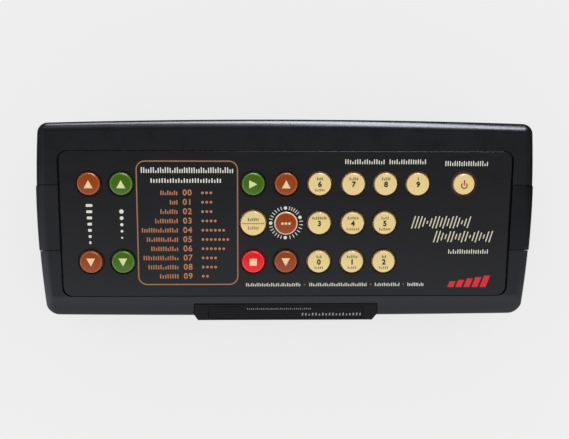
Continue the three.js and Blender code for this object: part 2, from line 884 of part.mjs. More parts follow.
// Lower shell
function lowerOuter() {
  const top = partingHeight - fit;
  const levels = [{ z: footHeight, inset: lowerStepIn + lowerDraft + baseFillet }];
  for (let k = 1; k <= filletSteps; k++) {
    const angle = (k / filletSteps) * 90 * degrees;
    const z = footHeight + baseFillet * (1 - Math.cos(angle));
    levels.push({ z, inset: lowerStepIn + lowerDraft + baseFillet * (1 - Math.sin(angle)) });
  }
  levels.push({ z: top, inset: lowerStepIn });
  return toSolid(loft(levels.map(({ z, inset }) =>
    planRing(inset, inset, inset, Math.max(cornerRadius - inset, tightestCorner))
      .map(({ x, y }) => [x, y, z]))));
}

function lowerHollow() {
  const inset = wall + lowerStepIn + lowerDraft;
  const ring = planRing(inset, inset, inset, Math.max(cornerRadius - inset, tightestCorner));
  return toSolid(loft([floorHeight, partingHeight + overrun].map((z) => ring.map(({ x, y }) => [x, y, z]))));
}

function standoffPlaces() {
  const left = mainBoardLeft + standoffMargin;
  const right = mainBoardRight - standoffMargin;
  const front = mainBoardFront + standoffMargin;
  const rear = mainBoardRear - standoffMargin;
  return [[left, front], [right, front], [left, rear], [right, rear]];
}

function lowerShell() {
  const posts = postPlaces.map(({ x, y }) =>
    toSolid(drum(postRadius, floorHeight - weld, partingHeight - fit, postSides).translate(x, y, 0)));
  const standoffs = standoffPlaces().map(([x, y]) =>
    toSolid(drum(standoffRadius, floorHeight - weld, mainBoardBottom - fit, postSides).translate(x, y, 0)));
  const heads = postPlaces.map(({ x, y }) =>
    toSolid(drum(screwHeadRadius + fit, footHeight - overrun, screwHeadTop + fit, postSides)
      .translate(x, y, 0)));
  const shanks = postPlaces.map(({ x, y }) =>
    toSolid(drum(screwRadius + fit, footHeight, partingHeight + overrun, postSides).translate(x, y, 0)));
  const footSeats = footPlaces.map(({ x, y }) =>
    toSolid(drum(footRadius + fit, footHeight - overrun, footHeight + footRecess, footSides)
      .translate(x, y, 0)));
  const vents = ventPlaces().map((x) =>
    toSolid(block(
      around(x, ventWidth),
      around(transformerDepth, baseVentLength),
      [footHeight - overrun, floorHeight + overrun],
    )));
  const body = joined(lowerOuter().subtract(lowerHollow()), [...posts, ...standoffs]);
  return toGeometry(cut(body, [...heads, ...shanks, ...footSeats, ...vents]));
}

// Feet
const footPlaces = [
  { name: "rear_left", x: -footX, y: rearFootDepth },
  { name: "rear_right", x: footX, y: rearFootDepth },
  { name: "front_left", x: -footX, y: frontFootDepth },
  { name: "front_right", x: footX, y: frontFootDepth },
];

function foot({ x, y }) {
  const top = footHeight + footRecess - fit;
  return turned([
    [0, 0],
    [footRadius - footChamfer, 0],
    [footRadius, footChamfer],
    [footRadius, top],
    [0, top],
  ], footSides).translate(x, y, 0);
}

// Main board with its capacitors, heat sink, chips and the ribbon's plug
function mainBoard() {
  const base = mainBoardTop - weld;
  const boardMiddle = (mainBoardFront + mainBoardRear) / 2;
  const board = toSolid(block(
    [mainBoardLeft, mainBoardRight],
    [mainBoardFront, mainBoardRear],
    [mainBoardBottom, mainBoardTop],
  ));
  const plug = block(
    around(ribbonX, plugWidth),
    around(ribbonDepth, plugDepth),
    [base, mainBoardTop + plugHeight],
  );
  const capacitorX = mainBoardRight - 2 * capacitorRadius;
  const capacitors = [-1, 1].map((end) =>
    drum(capacitorRadius, base, mainBoardTop + capacitorHeight, postSides)
      .translate(capacitorX, boardMiddle + (end * capacitorPitch) / 2, 0));
  const sinkRight = capacitorX - 2 * capacitorRadius;
  const heatSink = block(
    [sinkRight - heatSinkWidth, sinkRight],
    around(mainBoardFront + heatSinkDepth, heatSinkDepth),
    [base, mainBoardTop + heatSinkHeight],
  );
  const chips = [-1, 0, 1].map((place) =>
    block(
      around(sinkRight - heatSinkWidth / 2 + (place - 1) * chipPitch, chipWidth),
      around(boardMiddle, chipDepth),
      [base, mainBoardTop + chipHeight],
    ));
  return toGeometry(joined(board, [plug, ...capacitors, heatSink, ...chips].map(toSolid)));
}

// Transformer: a core with two windows, and the coil round its middle leg
function transformerCore() {
  const bottom = floorHeight + fit;
  const ys = around(transformerDepth, coreStack);
  const outer = toSolid(block(around(transformerX, coreWidth), ys, [bottom, bottom + coreHeight]));
  const gap = (coreWidth - 4 * coreLeg) / 2;
  const windows = [-1, 1].map((side) =>
    toSolid(block(
      around(transformerX + side * (coreLeg + gap / 2), gap),
      around(transformerDepth, coreStack + 2 * overrun),
      [bottom + coreLeg, bottom + coreHeight - coreLeg],
    )));
  return toGeometry(cut(outer, windows));
}

function transformerCoil() {
  const bottom = floorHeight + fit + coreLeg + fit;
  const top = floorHeight + fit + coreHeight - coreLeg - fit;
  const legWidth = 2 * coreLeg + 2 * fit;
  const legDepth = coreStack + 2 * fit;
  const outer = toSolid(block(
    around(transformerX, legWidth + 2 * (coilWall - fit)),
    around(transformerDepth, legDepth + 2 * coilWall),
    [bottom, top],
  ));
  const leg = toSolid(block(
    around(transformerX, legWidth),
    around(transformerDepth, legDepth),
    [bottom - overrun, top + overrun],
  ));
  return toGeometry(outer.subtract(leg));
}

// Rear sockets
function jackFace(x) {
  return rearAt(x) - wall - fit;
}

function jack({ x }) {
  const rear = jackFace(x) - fit;
  const body = toSolid(block(
    around(x, jackBodyWidth),
    [rear - jackBodyDepth, rear],
    [jackBodyBottom, jackBodyBottom + jackBodyHeight],
  ));
  const tip = rearAt(x) + jackNoseProud;
  const nose = toSolid(rearDrum(jackNoseRadius, rear - weld, tip, x, jackAxisHeight, keySides));
  const bore = toSolid(
    rearDrum(jackRadius, tip - jackBoreDepth, tip + overrun, x, jackAxisHeight, keySides));
  return toGeometry(body.add(nose).subtract(bore));
}

function jackNut({ x }) {
  const front = rearAt(x) + fit;
  const rear = front + nutThickness;
  const hexagon = toSolid(rearDrum(nutRadius, front, rear, x, jackAxisHeight, 6));
  const bore = toSolid(
    rearDrum(jackNoseRadius + fit, front - overrun, rear + overrun, x, jackAxisHeight, keySides));
  return toGeometry(hexagon.subtract(bore));
}

function mainsInlet() {
  const seat = rearAt(inletX - inletFlangeWidth / 2) + fit;
  const flange = toSolid(block(
    around(inletX, inletFlangeWidth),
    [seat, seat + inletFlangeThickness],
    around(inletHeight, inletFlangeHeight),
  ));
  const body = toSolid(block(
    around(inletX, inletBodyWidth),
    [seat - inletBodyDepth, seat + weld],
    around(inletHeight, inletBodyHeight),
  ));
  const mouth = seat + inletFlangeThickness;
  const cavity = toSolid(
    plate(
      roundedShape(inletCavityWidth, inletCavityHeight, inletCavityHeight / 2),
      -overrun,
      inletCavityDepth,
      4,
    ).rotateX(90 * degrees).translate(inletX, mouth, inletHeight),
  );
  const pinEnd = mouth - inletCavityDepth + inletPinLength;
  const pins = [-1, 1].map((side) =>
    toSolid(rearDrum(
      inletPinRadius,
      mouth - inletCavityDepth - weld,
      pinEnd,
      inletX + (side * inletPinPitch) / 2,
      inletHeight,
      8,
    )));
  return toGeometry(joined(flange.add(body).subtract(cavity), pins));
}

// Assembly
function named(name, geometry, material) {
  const mesh = new THREE.Mesh(geometry, material);
  mesh.name = name;
  return mesh;
}

function build() {
  const rearmost = Math.max(...jackPlaces.map(({ x }) => rearAt(x))) + jackNoseProud;
  const frontmost = bezelDepthPlace - (bezelHeight / 2) * Math.cos(bezelTilt);

  const tabla = new THREE.Group();
  const body = new THREE.Group();
  body.position.y = -(rearmost + frontmost) / 2;
  tabla.add(body);
  body.add(faceFrame, displayFrame);

  body.add(named("upper_shell", upperShell(), caseBlack()));
  body.add(named("lower_shell", lowerShell(), caseBlack()));

  faceFrame.add(named("control_panel", controlPanel(), panelBlack()));
  faceFrame.add(named("key_board", keyBoard(), boardGreen()));
  for (const key of keyTable) {
    const mesh = named(key.name, keyGeometry(capRadiusOf(key)), key.material());
    mesh.position.set(key.x, key.y, 0);
    faceFrame.add(mesh);
  }

  displayFrame.add(named("display_bezel", displayBezel(), glossBlack()));
  displayFrame.add(named("display_window", displayWindow(), glossBlack()));
  displayFrame.add(named("led_display", ledDisplay(), glossBlack()));
  displayFrame.add(named("display_board", displayBoard(), boardGreen()));

  for (const [end, side] of [["left", -1], ["right", 1]]) {
    body.add(named("end_grille_" + end, endGrille(side), caseBlack()));
    body.add(named("speaker_frame_" + end, speakerFrame(side), darkSteel()));
    body.add(named("speaker_magnet_" + end, speakerMagnet(side), darkSteel()));
    body.add(named("speaker_cone_" + end, speakerCone(side), paperBlack()));
  }

  body.add(named("main_board", mainBoard(), boardGreen()));
  body.add(named("ribbon_cable", ribbonCable(), steel()));
  body.add(named("transformer_core", transformerCore(), darkSteel()));
  body.add(named("transformer_coil", transformerCoil(), tapeYellow()));

  body.add(named("mains_inlet", mainsInlet(), glossBlack()));
  for (const place of jackPlaces) {
    body.add(named(place.name + "_jack", jack(place), rubberBlack()));
    body.add(named(place.name + "_nut", jackNut(place), steel()));
  }
  for (const place of footPlaces) {
    body.add(named("foot_" + place.name, foot(place), rubberBlack()));
  }
  for (const place of postPlaces) {
    body.add(named("case_screw_" + place.name, screw(place), steel()));
  }
  return tabla;
}

export default build();
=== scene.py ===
"""Electronic tabla: the finish of a sloped table-top console with round push keys on a printed
control panel, a display on its front edge and a speaker behind a grille at each end.

Pieces are modelled in millimetres in the case's own frame, with the sloped face and the display
each having a frame of their own, and are then placed in the part's frame in metres."""

import math

import bmesh
import bpy
from mathutils import Matrix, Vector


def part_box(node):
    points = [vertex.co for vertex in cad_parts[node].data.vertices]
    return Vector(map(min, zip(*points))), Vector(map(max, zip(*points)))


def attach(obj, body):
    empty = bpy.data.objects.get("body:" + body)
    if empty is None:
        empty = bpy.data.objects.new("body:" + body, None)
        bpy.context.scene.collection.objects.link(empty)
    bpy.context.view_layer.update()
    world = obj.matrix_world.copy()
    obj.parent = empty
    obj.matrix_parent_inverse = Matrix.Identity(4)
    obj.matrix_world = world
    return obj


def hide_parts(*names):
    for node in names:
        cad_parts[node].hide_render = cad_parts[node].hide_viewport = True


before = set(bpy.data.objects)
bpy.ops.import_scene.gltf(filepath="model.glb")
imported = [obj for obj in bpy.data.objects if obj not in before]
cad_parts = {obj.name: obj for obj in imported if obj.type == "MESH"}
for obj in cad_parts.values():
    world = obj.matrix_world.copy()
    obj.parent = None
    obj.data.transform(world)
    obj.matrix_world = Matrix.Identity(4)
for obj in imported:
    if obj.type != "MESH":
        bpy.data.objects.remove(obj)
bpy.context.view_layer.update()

# Units and shared clearances
MM = 0.001
DEGREES = math.pi / 180
FIT = 0.3
OVERRUN = 1.0
MERGE = 0.0005

# Case
FACE_TILT = 15 * DEGREES
FACE_HEIGHT = 62.0
HALF_WIDTH = 138.0
WIDEST_DEPTH = 8.0
PANEL_DEPTH = 82.0
PANEL_END_MARGIN = 13.8
PANEL_REAR_MARGIN = 17.6
PANEL_FRONT_MARGIN = 11.4
PANEL_WIDTH = 2 * (HALF_WIDTH - PANEL_END_MARGIN)
REAR_REACH = PANEL_DEPTH / 2 * math.cos(FACE_TILT) + PANEL_REAR_MARGIN
FRONT_REACH = PANEL_DEPTH / 2 * math.cos(FACE_TILT) + PANEL_FRONT_MARGIN
END_BOW = 530.0
REAR_BOW = 4450.0
FRONT_BOW = 12600.0
CORNER = 5.5
TIGHTEST_CORNER = 1.5
SIDE_FILLET = 6.0
FRONT_FILLET = 11.0
TIGHTEST_FILLET = 1.0
WALL = 3.0
FOOT_HEIGHT = 4.0
PARTING = 14.0
LOWER_STEP = 0.5
LOWER_DRAFT = 0.5
BASE_FILLET = 3.0
FLOOR = FOOT_HEIGHT + WALL
CORNER_STEPS = 10
LONG_STEPS = 24
SHORT_STEPS = 12
FILLET_STEPS = 10
CASE_EDGE = 0.3
PLATE_EDGE = 0.2
SMALL_EDGE = 0.15

# Control panel
PANEL_CORNER = 5.0
PANEL_THICKNESS = 2.5
PANEL_END_GROOVE = 1.1
PANEL_LONG_GROOVE = 0.35
PANEL_LEDGE = 5.0
LEDGE_THICKNESS = 2.2
TOP_WALL = PANEL_THICKNESS + FIT + LEDGE_THICKNESS

# Keys
CAP_RADIUS = 6.2
PROGRAM_CAP_RADIUS = 6.9
POWER_CAP_RADIUS = 5.8
CAP_HEIGHT = 2.0
CAP_EDGE = 1.0
CAP_CROWN = 0.2
CAP_HOLE_GAP = 0.7
CROWN_STEPS = 6
RIM_FADE = 0.3
# Width of the painted highlight along a plain cap's edge
HIGHLIGHT_RIM_WIDTH = 0.75
EDGE_WIDTH = 0.4
FLANGE_LIP = 0.7
FLANGE_THICKNESS = 1.0
PLUNGER_SIDE = 3.8
SWITCH_HEIGHT = 4.0
CAP_WIDTH = 2 * CAP_RADIUS
VOLUME_X = -PANEL_WIDTH / 2 + 15.8
BASS_X = VOLUME_X + CAP_WIDTH + 5.3
POWER_X = PANEL_WIDTH / 2 - 26.3
DIGIT_4_X = POWER_X - CAP_WIDTH - 13.2
DIGIT_3_X = DIGIT_4_X - CAP_WIDTH - 5.4
DIGIT_2_X = DIGIT_3_X - CAP_WIDTH - 5.4
DIGIT_1_X = DIGIT_2_X - CAP_WIDTH - 6.2
SELECT_X = DIGIT_1_X - CAP_WIDTH - 6.1
START_X = SELECT_X - CAP_WIDTH - 5.7
ROW_GAP = 9.6
MIDDLE_ROW = 1.0
TOP_ROW = MIDDLE_ROW + CAP_WIDTH + ROW_GAP
BOTTOM_ROW = MIDDLE_ROW - CAP_WIDTH - ROW_GAP

# Printing
INK = 0.035
INK_SINK = 0.02
PRINT_STEP = 1.2
BAR_ROUND = 0.3
STROKE_PITCH = 1.0
STROKE_WIDTH = 0.52
STROKE_CORNER = 0.1

# Display
BEZEL_TILT = 55 * DEGREES
BEZEL_INSET = 1.7
BEZEL_DROP = 5.5
BEZEL_WIDTH = 103.0
BEZEL_HEIGHT = 16.4
BEZEL_THICKNESS = 6.0
BEZEL_FLARE = 1.1
BEZEL_CUT_ACROSS = 2.2
BEZEL_CUT_UP = 6.3
WINDOW_WIDTH = 88.0
WINDOW_HEIGHT = 12.2
WINDOW_THICKNESS = 1.6
WINDOW_CORNER = 1.2
WINDOW_EDGE = 0.12
LED_WIDTH = 78.0
LED_HEIGHT = 9.6
LED_ROOM = (LED_WIDTH + 2 * FIT, LED_HEIGHT + 2 * FIT)
FIGURES = 8
SEGMENT_LENGTH = 3.4
SEGMENT_WIDTH = 0.8
SEGMENT_GAP = 0.25
POINT_RADIUS = 0.42
SEAT_MARGIN = 5.0
SEAT_FLOOR = 2.0

# End grilles and speakers
GRILLE_FRONT = -14.0
GRILLE_REAR = 21.4
GRILLE_PROUD = 0.4
GRILLE_THICKNESS = 1.5
GRILLE_FOOT = 17.5
LOUVRES = 7
LOUVRE_HEIGHT = 2.0
LOUVRE_INSET = 1.5
SPEAKER_DEPTH = (GRILLE_FRONT + GRILLE_REAR) / 2
SPEAKER_HEIGHT = 34.0
SPEAKER_RADIUS = 22.5
SPEAKER_SEAT = HALF_WIDTH - 5.2
SPEAKER_HOLE = 15.5
CONE_RIM = 17.4
CONE_FRONT = FIT + 0.5
CONE_DEPTH = 8.0
CONE_THICKNESS = 0.8
CONE_ROLL = 4.2
FORMER_RADIUS = 4.3
FORMER_END = 13.2
DUST_CAP_RADIUS = 5.0
DUST_CAP_RISE = 1.2

# Posts, screws and feet
POST_RADIUS = 4.5
POST_X = HALF_WIDTH - 10.5
POST_REAR = REAR_REACH - 11.2
POST_FRONT = -(FRONT_REACH - 11.0)
SCREW_RADIUS = 1.5
SCREW_HEAD_RADIUS = 3.2
SCREW_HEAD_HEIGHT = 2.2
SCREW_HEAD_EDGE = 0.8
SCREW_REACH = 25.0
SCREW_RECESS = 1.2
THREAD_PITCH = 1.2
THREAD_DEPTH = 0.35
SCREW_PLAIN = 1.0
SCREW_TIP_RADIUS = 0.3
CROSS_LENGTH = 3.2
CROSS_WIDTH = 0.75
CROSS_DEPTH = 1.3
FOOT_RADIUS = 8.0
FOOT_X = HALF_WIDTH - 30.0
FOOT_REAR = REAR_REACH - 15.2
FOOT_FRONT = -(FRONT_REACH - 15.0)
FOOT_RECESS = 0.6
FOOT_CHAMFER = 0.8
FOOT_RING = 0.35
FOOT_RING_SLOPE = 0.5

# Rear sockets and vents
JACK_XS = {"line_out": -40.0, "headphone": -66.0}
JACK_AXIS = 22.7
JACK_RADIUS = 3.3
JACK_SINK = 0.45
JACK_NOSE_RADIUS = 4.5
JACK_NOSE_PROUD = 2.6
JACK_THREAD_PITCH = 0.5
JACK_THREAD_DEPTH = 0.22
JACK_PLAIN = 1.0
JACK_CHAMFER = 0.3
JACK_CHAMFER_HEIGHT = 0.4
JACK_BODY_WIDTH = 16.0
JACK_BODY_DEPTH = 24.0
JACK_BODY_HEIGHT = 13.0
JACK_BORE_DEPTH = 22.0
NUT_RADIUS = 7.0
NUT_THICKNESS = 2.0
NUT_EDGE = 0.28
INLET_X = 92.0
INLET_HEIGHT = 30.0
INLET_FLANGE = (25.0, 17.0, 1.6)
INLET_BODY = (19.4, 12.4, 19.0)
INLET_CAVITY = (14.4, 8.2, 13.0)
INLET_CORNER = 2.0
INLET_ROUND = 0.3
INLET_EDGE = 0.12
INLET_PIN_RADIUS = 1.2
INLET_PIN_PITCH = 8.6
INLET_PIN_LENGTH = 9.0
VENT_X = 86.0
VENTS = 6
VENT_WIDTH = 2.4
VENT_PITCH = 6.0
BASE_VENT_DEPTH = 14.0
BASE_VENT_LENGTH = 30.0
REAR_VENT_HEIGHT = 50.0
REAR_VENT_LENGTH = 14.0


def face_level(depth):
    """Height of the sloped face at a depth."""
    return FACE_HEIGHT + depth * math.tan(FACE_TILT)


def rear_at(x):
    """Depth of the slightly bowed rear wall at a place along it."""
    return REAR_REACH - x * x / (2 * REAR_BOW)


# Frames: the case's, the face's with Z square to the face, and the display's with Z out of it
case_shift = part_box("upper_shell")[1].y / MM - REAR_REACH
CASE = Matrix.Scale(MM, 4) @ Matrix.Translation((0, case_shift, 0))
BEZEL_PLACE = (0, -(FRONT_REACH - BEZEL_INSET), face_level(-FRONT_REACH) - BEZEL_DROP)
ON_DISPLAY = Matrix.Translation(BEZEL_PLACE) @ Matrix.Rotation(BEZEL_TILT, 4, "X")
ON_FACE = Matrix.Translation((0, 0, FACE_HEIGHT)) @ Matrix.Rotation(FACE_TILT, 4, "X")
FACE = CASE @ ON_FACE
DISPLAY = CASE @ ON_DISPLAY


# Nodes
def operator(operation, turned=False):
    """A Python operator that adds a Math node; turned, its two values change places."""

    def work(wire, other):
        pair = (other, wire) if turned else (wire, other)
        return wire.nodes.add("ShaderNodeMath", *pair, operation=operation)

    return work


class Wire:
    """An output of a node. Its operators and methods add the nodes that take it further."""

    __add__ = operator("ADD")
    __radd__ = operator("ADD", True)
    __sub__ = operator("SUBTRACT")
    __rsub__ = operator("SUBTRACT", True)
    __mul__ = operator("MULTIPLY")
    __rmul__ = operator("MULTIPLY", True)
    __truediv__ = operator("DIVIDE")

    def __init__(self, nodes, socket):
        self.nodes = nodes
        self.socket = socket

    def math(self, operation, *others):
        return self.nodes.add("ShaderNodeMath", self, *others, operation=operation)

    def split(self):
        node = self.nodes.add("ShaderNodeSeparateXYZ", self).socket.node
        return [Wire(self.nodes, output) for output in node.outputs]

    def ranged(self, low, high, to_low=0.0, to_high=1.0):
        return self.nodes.add("ShaderNodeMapRange", self, low, high, to_low, to_high)

    def mix(self, first, second):
        """Mixes two colours by this share; the sockets of the node's other kinds are skipped."""
        skipped = [None] * 5
        colours = (self, *skipped, first, second)
        return self.nodes.add("ShaderNodeMix", *colours, output=2, data_type="RGBA")

    def shade(self, colour, low, high):
        """One colour, darker or brighter by this share."""
        return self.mix(scaled(colour, low), scaled(colour, high))

    def stretched(self, x, y, z):
        """Coordinates stretched along the axes, for grain that runs one way."""
        return self.nodes.add("ShaderNodeVectorMath", self, (x, y, z), operation="MULTIPLY")

    def noise(self, grain, detail=2.0, rough=0.5):
        """Noise on coordinates, its grain in millimetres."""
        sizes = {"Scale": 1 / (grain * MM), "Detail": detail, "Roughness": rough}
        return self.nodes.add("ShaderNodeTexNoise", Vector=self, **sizes)

    def cells(self, grain):
        return self.nodes.add("ShaderNodeTexVoronoi", Vector=self, Scale=1 / (grain * MM))

    def bump(self, depth):
        return self.nodes.add("ShaderNodeBump", Height=self, Distance=depth * MM, Strength=1.0)


class Nodes:
    """A node tree that is built by calls."""

    def __init__(self, tree):
        self.tree = tree

    def add(self, kind, *values, output=0, **named):
        """Adds a node. Values go to sockets by place or name; small letters name a setting."""
        node = self.tree.nodes.new(kind)
        sockets = dict(enumerate(values))
        for key, value in named.items():
            if key.islower():
                setattr(node, key, value)
            else:
                sockets[key.replace("_", " ")] = value
        for key, value in sockets.items():
            if isinstance(value, Wire):
                self.tree.links.new(value.socket, node.inputs[key])
            elif value is not None:
                node.inputs[key].default_value = value
        return Wire(self, node.outputs[output]) if len(node.outputs) else None

    def vector(self, x=0.0, y=0.0, z=0.0):
        return self.add("ShaderNodeCombineXYZ", x, y, z)


class Recipe(Nodes):
    """A geometry-node tree with named sizes, run on an object to give it a plain mesh."""

    def __init__(self, name, whole, real=""):
        super().__init__(bpy.data.node_groups.new(name, "GeometryNodeTree"))
        kinds = {"Geometry": "Geometry", **dict.fromkeys(whole.split(), "Int")}
        kinds |= {**dict.fromkeys(real.split(), "Float"), "Material": "Material"}
        face = self.tree.interface
        for size, kind in kinds.items():
            face.new_socket(size, in_out="INPUT", socket_type="NodeSocket" + kind)
        face.new_socket("Geometry", in_out="OUTPUT", socket_type="NodeSocketGeometry")
        start = self.tree.nodes.new("NodeGroupInput")
        wires = [Wire(self, start.outputs[size]) for size in kinds]
        self.geometry, *self.sizes, self.material = wires

    def end(self, geometry):
        real = self.add("GeometryNodeRealizeInstances", geometry)
        dressed = self.add("GeometryNodeSetMaterial", real, Material=self.material)
        self.add("NodeGroupOutput", dressed)
        return self

    def run(self, obj, material, **sizes):
        modifier = obj.modifiers.new(self.tree.name, "NODES")
        modifier.node_group = self.tree
        sizes["material"] = material
        for item in self.tree.interface.items_tree:
            if item.in_out == "INPUT" and item.name.lower() in sizes:
                modifier[item.identifier] = sizes[item.name.lower()]
        return welded(settle(obj))


# Mesh helpers
def settle(obj):
    """Turns an object and its modifiers into a plain mesh."""
    bpy.context.view_layer.update()
    graph = bpy.context.evaluated_depsgraph_get()
    seen = obj.evaluated_get(graph)
    mesh = bpy.data.meshes.new_from_object(seen, preserve_all_data_layers=True, depsgraph=graph)
    obj.modifiers.clear()
    obj.data = mesh
    return obj


def linked(name, data):
    obj = bpy.data.objects.new(name, data)
    bpy.context.scene.collection.objects.link(obj)
    return obj


def solid(name, points=(), faces=(), edges=()):
    mesh = bpy.data.meshes.new(name)
    mesh.from_pydata(points, edges, faces)
    return linked(name, mesh)


def put(obj, matrix):
    obj.data.transform(matrix)
    return obj


def at(obj, x, y, z=0):
    return put(obj, Matrix.Translation((x, y, z)))


def remade(obj, work):
    """Passes an object's mesh through a bmesh function."""
    bm = bmesh.new()
    bm.from_mesh(obj.data)
    work(bm)
    bm.to_mesh(obj.data)
    bm.free()
    return obj


def welded(obj):
    def work(bm):
        bmesh.ops.remove_doubles(bm, verts=bm.verts, dist=MERGE)
        bmesh.ops.recalc_face_normals(bm, faces=bm.faces)

    return remade(obj, work)


def joined(name, objects):
    def work(bm):
        for obj in objects:
            bm.from_mesh(obj.data)
            bpy.data.objects.remove(obj)

    return remade(solid(name), work)


def carve(target, tools, operation="DIFFERENCE"):
    """Cuts the tools out of the target, or keeps or adds what they share, and deletes them."""
    bench = bpy.data.collections.new("bench")
    bpy.context.scene.collection.children.link(bench)
    for tool in tools:
        bench.objects.link(tool)
    modifier = target.modifiers.new("carve", "BOOLEAN")
    modifier.operation = operation
    modifier.operand_type = "COLLECTION"
    modifier.collection = bench
    modifier.solver = "EXACT"
    settle(target)
    for tool in tools:
        bpy.data.objects.remove(tool)
    bpy.data.collections.remove(bench)
    return target


def smooth(obj, angle):
    obj.data.shade_smooth()
    obj.data.set_sharp_from_angle(angle=angle * DEGREES)
    return obj


def evened(obj, angle):
    """Smooths a piece and evens its shading by the size of its faces."""
    even = smooth(obj, angle).modifiers.new("even", "WEIGHTED_NORMAL")
    even.keep_sharp = True
    return settle(obj)


def eased(obj, width, angle=38):
    """Rounds the sharp edges of a piece in metres and evens its shading."""
    bevel = obj.modifiers.new("edge", "BEVEL")
    bevel.width = width * MM
    bevel.segments = 2
    bevel.limit_method = "ANGLE"
    bevel.angle_limit = angle * DEGREES
    bevel.use_clamp_overlap = True
    return evened(settle(obj), 32)


def around(middle, size):
    return middle - size / 2, middle + size / 2


def block(xs, ys, zs):
    points = [(x, y, z) for z in zs for y in ys for x in xs]
    faces = [(0, 2, 3, 1), (4, 5, 7, 6), (0, 1, 5, 4), (2, 6, 7, 3), (0, 4, 6, 2), (1, 3, 7, 5)]
    return solid("block", points, faces)


def slab(width, depth, zs):
    """A block about the Z axis."""
    return block(around(0, width), around(0, depth), zs)


def loft(name, rings):
    """A closed solid through rings of points that run anticlockwise, from the bottom up."""
    count = len(rings[0])
    faces = [tuple(reversed(range(count)))]
    for level in range(len(rings) - 1):
        low = level * count
        for j in range(count):
            k = (j + 1) % count
            faces.append((low + j, low + k, low + k + count, low + j + count))
    faces.append(tuple(range((len(rings) - 1) * count, len(rings) * count)))
    return solid(name, [point for ring in rings for point in ring], faces)


def extruded(outline, bottom, top):
    return loft("extruded", [[(x, y, z) for x, y in outline] for z in (bottom, top)])


def circle(x, y, radius, steps=48):
    turns = [2 * math.pi * k / steps for k in range(steps)]
    return [(x + radius * math.cos(t), y + radius * math.sin(t)) for t in turns]


def drum(radius, bottom, top):
    return extruded(circle(0, 0, radius), bottom, top)


def drums(places, radius, bottom, top):
    """A drum at each of some places of the plan."""
    return [at(drum(radius, bottom, top), x, y) for x, y in places.values()]


def arc(middle, radius, start, end, steps):
    """Points of a profile's round stretch, in degrees, ends included."""
    turns = [(start + (end - start) * k / steps) * DEGREES for k in range(steps + 1)]
    return [(middle[0] + radius * math.cos(t), middle[1] + radius * math.sin(t)) for t in turns]


def rounded(x, y, width, height, radius, steps=8):
    """Outline of a rectangle with round corners, anticlockwise, by its middle."""
    across = width / 2 - radius
    up = height / 2 - radius
    outline = []
    for quarter, (sx, sy) in enumerate([(1, 1), (-1, 1), (-1, -1), (1, -1)]):
        middle = (x + sx * across, y + sy * up)
        outline += arc(middle, radius, 90 * quarter, 90 * (quarter + 1), steps)
    return outline


def plate(name, outlines, bottom, top, edge=0.0, steps=2):
    """A flat plate: outlines inside another are holes in it. Its edges may be rounded."""
    curve = bpy.data.curves.new(name, "CURVE")
    curve.dimensions = "2D"
    curve.fill_mode = "BOTH"
    curve.extrude = (top - bottom) / 2 - edge
    curve.bevel_depth = edge
    curve.bevel_resolution = steps
    curve.offset = -edge
    for outline in outlines:
        spline = curve.splines.new("POLY")
        spline.points.add(len(outline) - 1)
        spline.use_cyclic_u = True
        for point, (x, y) in zip(spline.points, outline):
            point.co = (x, y, 0, 1)
    return meshed(name, curve, 0, 0, (top + bottom) / 2)


def meshed(name, curve, x, y, z):
    """The mesh of a flat curve or a text, moved to a place."""
    drawn = linked(name, curve)
    bpy.context.view_layer.update()
    graph = bpy.context.evaluated_depsgraph_get()
    mesh = bpy.data.meshes.new_from_object(drawn.evaluated_get(graph))
    bpy.data.objects.remove(drawn)
    mesh.materials.clear()
    return welded(at(linked(name, mesh), x, y, z))


def lettering(text, height, x, y, weight, spacing=1.0):
    """Plain figures, centred on a place, as thin as ink."""
    curve = bpy.data.curves.new("figures", "FONT")
    curve.body = text
    curve.size = height
    curve.offset = weight
    curve.space_character = spacing
    curve.align_x = "CENTER"
    curve.align_y = "CENTER"
    curve.extrude = (INK + INK_SINK) / 2
    curve.resolution_u = 6
    return meshed("figures", curve, x, y, (INK - INK_SINK) / 2)


def ink(outlines):
    return plate("ink", outlines, -INK_SINK, INK)


# Recipes
def turning():
    """Turns a profile in X and Z about the Z axis; it runs from the bottom up, outside."""
    tree = Recipe("Turned piece", "Sides")
    (sides,) = tree.sizes
    count = tree.add("GeometryNodeAttributeDomainSize", tree.geometry, output="Point Count")
    spread = {"Vertices X": sides + 1, "Vertices Y": count}
    grid = tree.add("GeometryNodeMeshGrid", **spread, output="Mesh")
    index = tree.add("GeometryNodeInputIndex")
    step = (index / count).math("FLOOR")
    spot = {"Value": tree.add("GeometryNodeInputPosition"), "Index": index - step * count}
    profile = {"data_type": "FLOAT_VECTOR", "Geometry": tree.geometry}
    radius, _, height = tree.add("GeometryNodeSampleIndex", **profile, **spot).split()
    turn = step / sides * (2 * math.pi)
    wound = tree.vector(radius * turn.math("COSINE"), radius * turn.math("SINE"), height)
    moved = tree.add("GeometryNodeSetPosition", grid, Position=wound)
    return tree.end(tree.add("GeometryNodeMergeByDistance", moved, Distance=MERGE))


